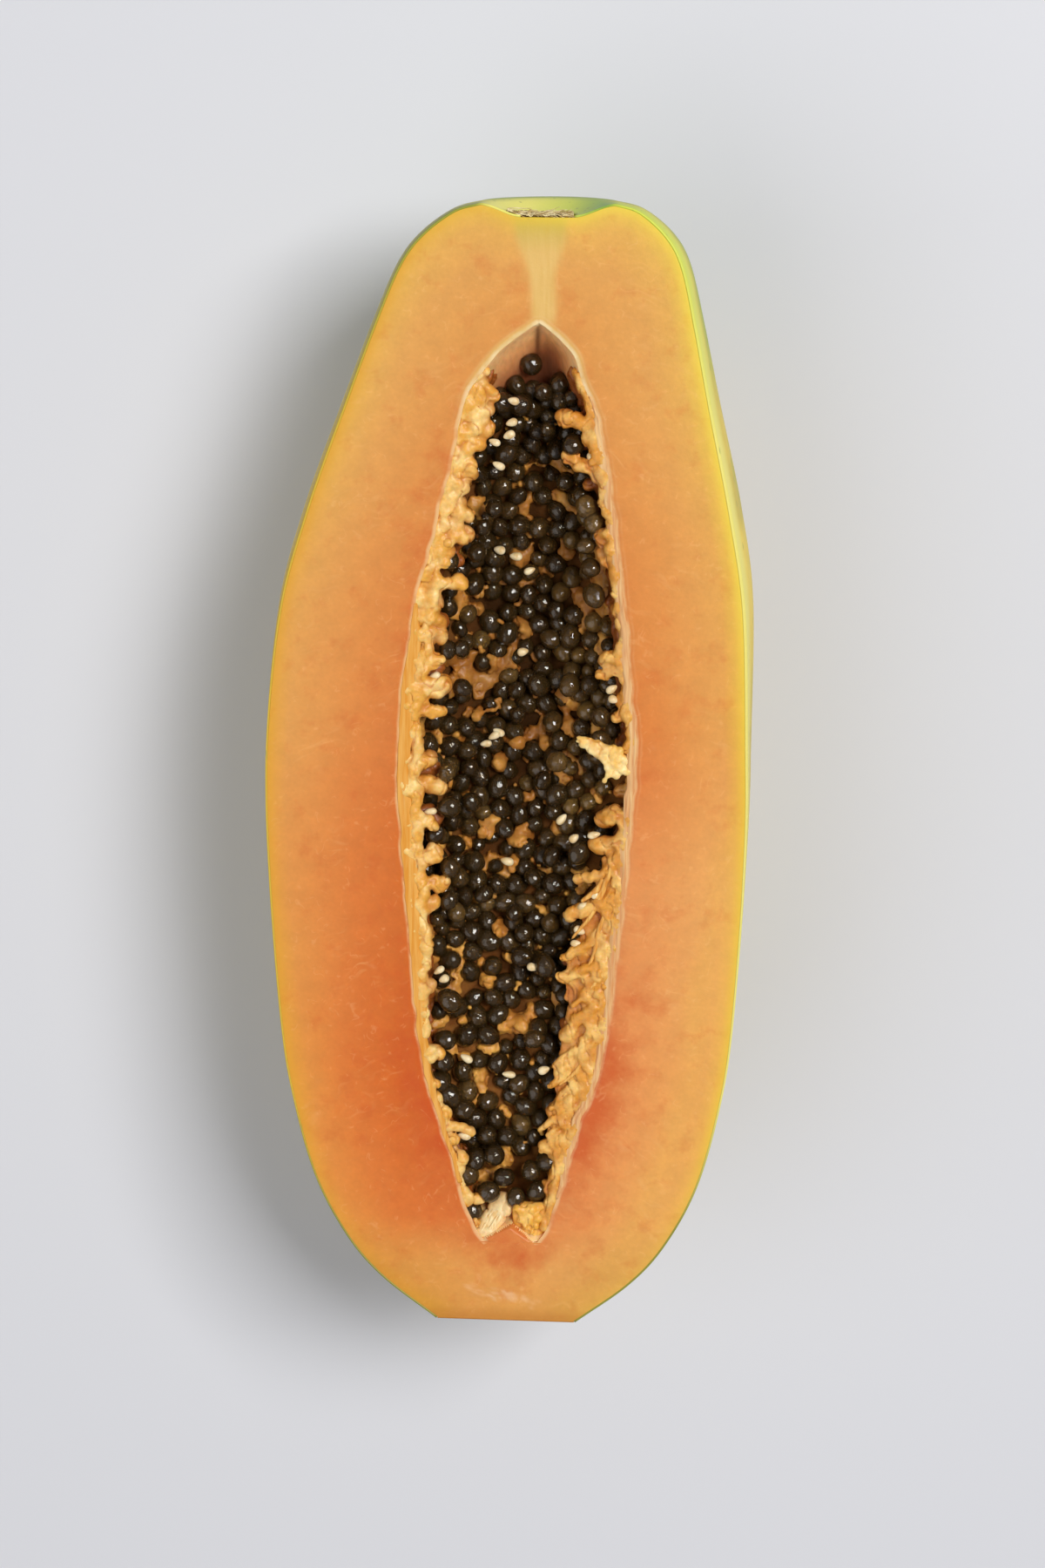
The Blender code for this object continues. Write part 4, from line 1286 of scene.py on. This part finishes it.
def turned(points, spin):
    """The points, turned by a spin that is given as a quaternion."""
    w, x, y, z = spin
    matrix = np.array((
        (1 - 2 * (y * y + z * z), 2 * (x * y - w * z), 2 * (x * z + w * y)),
        (2 * (x * y + w * z), 1 - 2 * (x * x + z * z), 2 * (y * z - w * x)),
        (2 * (x * z - w * y), 2 * (y * z + w * x), 1 - 2 * (x * x + y * y)),
    ))
    return points @ matrix.T


def all_eggs(name, scale, roughen, material):
    """One mesh of every seed's egg at a scale, each turned its own way and roughened its own amount."""
    parts = []
    for index, (seed, spin, size) in enumerate(zip(seeds, spins, sizes)):
        shape = egg_points * SEED_AXES * size * scale
        shape = shape * (1 - 0.1 * egg_points[:, :1] * np.array((0, 1, 1)))
        bumps = lumps(egg_points * np.array((0.9, 2.2, 2.2)) + index * 3.1, 1.0, 1)
        shape = shape * (1 + roughen * bumps)[:, None]
        parts.append((turned(shape, spin) + seed, egg_faces))
    made = mesh_object(name, *joined(parts), (material,))
    made.data.shade_smooth()
    set_attribute(made, "paleness", np.repeat(ages, len(egg_points)))
    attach(made, "root")
    return made


def seed_shell():
    """The seed itself: black brown and ridged, with the dull shine of a wet hard shell."""
    made, tree, place = new_material("papaya seed shell")
    rough = add_node(
        tree, "TexNoise", {"Vector": place, "Scale": 650.0, "Detail": 2.0, "Distortion": 0.4},
        noise_type="RIDGED_MULTIFRACTAL",
    )
    ages_of_shell = ((0.0, "#070504"), (0.3, "#160e09"), (0.6, "#54401f"), (1.0, "#947a46"))
    colour = ramp(tree, measured(tree, "paleness"), ages_of_shell)
    relief = bump(tree, rough.outputs["Fac"], 1.0, 0.001)
    return surfaced(made, {
        "Base Color": colour, "Roughness": 0.26, "IOR": 1.5, "Normal": relief,
    })


def seed_jelly():
    """The jelly coat: clear, wet and smooth, tinted olive brown, so that the seed shows dark inside it."""
    made, tree, place = new_material("papaya seed jelly")
    ages_of_jelly = ((0.0, "#a67a40"), (0.4, "#b48c4c"), (1.0, "#ccae70"))
    colour = ramp(tree, measured(tree, "paleness"), ages_of_jelly)
    puckers = noise_at(tree, place, 750.0, 2.0)
    relief = bump(tree, puckers, 0.5, 0.0006)
    return surfaced(made, {
        "Base Color": colour, "Roughness": 0.05, "IOR": 1.34, "Transmission Weight": 0.94,
        "Coat Weight": 0.6, "Coat Roughness": 0.07, "Coat IOR": 1.45, "Normal": relief,
        "Coat Normal": relief,
    })


all_eggs("seed_shells", 0.79, 0.1, seed_shell())
all_eggs("seed_jelly_coats", 1.0, 0.05, seed_jelly())

# ---------------------------------------------------------------------------------------------------------
# Loose placenta. Torn pieces of the yellow tissue between the seeds, tan and translucent. They fill the
# gaps, so their sides are hollowed where the seeds sat in them.
tree_of_seeds = KDTree(len(seeds))
for index, seed in enumerate(seeds):
    tree_of_seeds.insert(Vector(seed), index)
tree_of_seeds.balance()
spot_x, spot_y = np.meshgrid(np.arange(-30.0, 38.0, 0.85), np.arange(-122.0, 103.0, 0.85))
spots = np.column_stack((spot_x.ravel(), spot_y.ravel(), np.zeros(spot_x.size)))
spots[:, :2] += rng.normal(0, 0.15, (len(spots), 2))
spots = spots[np.abs(spots[:, 0] - cavity_centre(spots[:, 1])) < cavity_half_width(spots[:, 1]) - 3.0]
named = np.array(LOOSE_LUMPS)
from_named = np.linalg.norm(spots[:, None, :2] - named[None, :, :2], axis=2) / (0.55 * named[:, 2])
at_named = np.exp(-from_named.min(axis=1) ** 4)
patches = lumps(spots, 5.5, 14)
torn = 0.9 * lumps(spots, 1.7, 15) + rng.normal(0, 0.25, len(spots))
spots[:, 2] = seed_level(spots[:, 0], spots[:, 1]) - 2.4 + 2.0 * patches + 2.6 * at_named + torn
spots = spots[(patches > np.where(spots[:, 1] < -60, 0.12, 0.0)) | (at_named > 0.3)]
balls = []
for x, y, top in spots:
    for z in (top, top - 0.9, top - 1.8):
        _, index, distance = tree_of_seeds.find(Vector((x, y, z)))
        gap = distance - SEED_RADIUS * sizes[index]
        if gap > 0.35 and z > float(cavity_floor(x, y)) + 1.5:
            balls.append((x, y, z, min(0.9, 0.5 + 0.5 * gap)))
grown("placenta_lumps", balls, lump_tissue, 0.42)

# ---------------------------------------------------------------------------------------------------------
# Unripe seeds. Small cream white drops, 3 to 4 mm long, that never filled: singly and in clusters on the
# placenta, their narrow ends towards it.
UNRIPE = (  # (across, along, height)
    (2.2, 105.8, -3.0), (1.7, 99.9, -3.0), (0.9, 96.3, -4.0), (-3.0, 94.4, -3.5), (-1.9, 88.0, -3.5),
    (23.7, 91.2, -3.0), (-3.0, 62.2, -17.0), (1.5, 60.3, -18.0), (5.3, 56.3, -18.0), (3.6, 33.7, -16.0),
    (-3.0, 11.0, -14.0), (-4.2, 10.1, -13.5), (-6.7, 7.4, -15.0), (-19.9, 28.9, -4.0),
    (-21.3, -9.8, -4.0), (29.3, 26.4, -3.0), (29.8, 23.5, -3.0), (15.2, -12.2, -8.0),
    (18.8, -17.1, -6.0), (24.5, -15.5, -4.0), (-0.6, -26.1, -13.0), (25.2, -32.5, -3.0),
    (21.6, -35.9, -3.0), (20.6, -43.3, -4.0), (19.6, -47.1, -4.0), (-19.1, -56.0, -4.0),
    (-17.7, -58.5, -4.0), (7.1, -55.3, -7.0), (0.4, -87.3, -7.0), (-11.6, -82.5, -6.0),
    (10.6, -84.7, -4.0), (-19.8, -99.2, -3.0), (-12.0, -104.8, -3.2), (-24.8, -43.9, -2.5),
)


def unripe_skin():
    """Unripe seed coat: cream white, waxy and a little translucent."""
    made, tree, place = new_material("unripe papaya seed")
    tint = noise_at(tree, place, 420.0, 2.0)
    colour = ramp(tree, tint, ((0.35, "#d2b27c"), (0.6, "#ead6ac")))
    return surfaced(made, {
        "Base Color": colour, "Roughness": 0.28, "IOR": 1.4,
        "Subsurface Weight": 0.3, "Subsurface Radius": (1.0, 0.7, 0.4), "Subsurface Scale": 0.001,
    })


unripe_parts = []
for place in UNRIPE:
    inwards = 1.0 if place[0] < cavity_centre(place[1]) else -1.0
    heading = math.atan2(rng.normal(0, 0.5) - 0.3, inwards)
    long, wide = rng.uniform(1.5, 1.95), rng.uniform(0.95, 1.2)
    taper = 1 + 0.28 * egg_points[:, :1]
    shape = egg_points * (long, wide, wide) * np.hstack((np.ones_like(taper), taper, taper))
    spin = (math.cos(heading / 2), 0, 0, math.sin(heading / 2))
    unripe_parts.append((turned(shape, spin) + place, egg_faces))
unripe = mesh_object("unripe_seeds", *joined(unripe_parts), (unripe_skin(),))
unripe.data.shade_smooth()
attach(unripe, "root")

# ---------------------------------------------------------------------------------------------------------
# Table and light. A plain pale table under broad soft daylight from the upper right, with a wide reflector
# on the left and a pale room round it.
floor = mesh_object(
    "table", [(-1500, -1500, 0), (1500, -1500, 0), (1500, 1500, 0), (-1500, 1500, 0)], [(0, 1, 2, 3)]
)
for vertex in floor.data.vertices:
    vertex.co.z = 0.0
board, _, _ = new_material("pale matte board")
floor.data.materials.append(surfaced(board, {"Base Color": "#d0d0d4", "Roughness": 0.6}))

room = bpy.data.worlds.new("pale room")
room.use_nodes = True
room.node_tree.nodes["Background"].inputs["Color"].default_value = linear("#eef1f6")
room.node_tree.nodes["Background"].inputs["Strength"].default_value = 0.24
bpy.context.scene.world = room

for name, place, size, power in (
    ("window", (1.15, 0.85, 2.05), 0.95, 55.0),
    ("reflector", (-1.3, -0.6, 1.6), 2.4, 20.0),
):
    lamp = bpy.data.objects.new(name, bpy.data.lights.new(name, "AREA"))
    lamp.data.size = size
    lamp.data.energy = power
    lamp.location = place
    lamp.rotation_euler = (Vector(place) - aim).to_track_quat("Z", "Y").to_euler()
    bpy.context.scene.collection.objects.link(lamp)
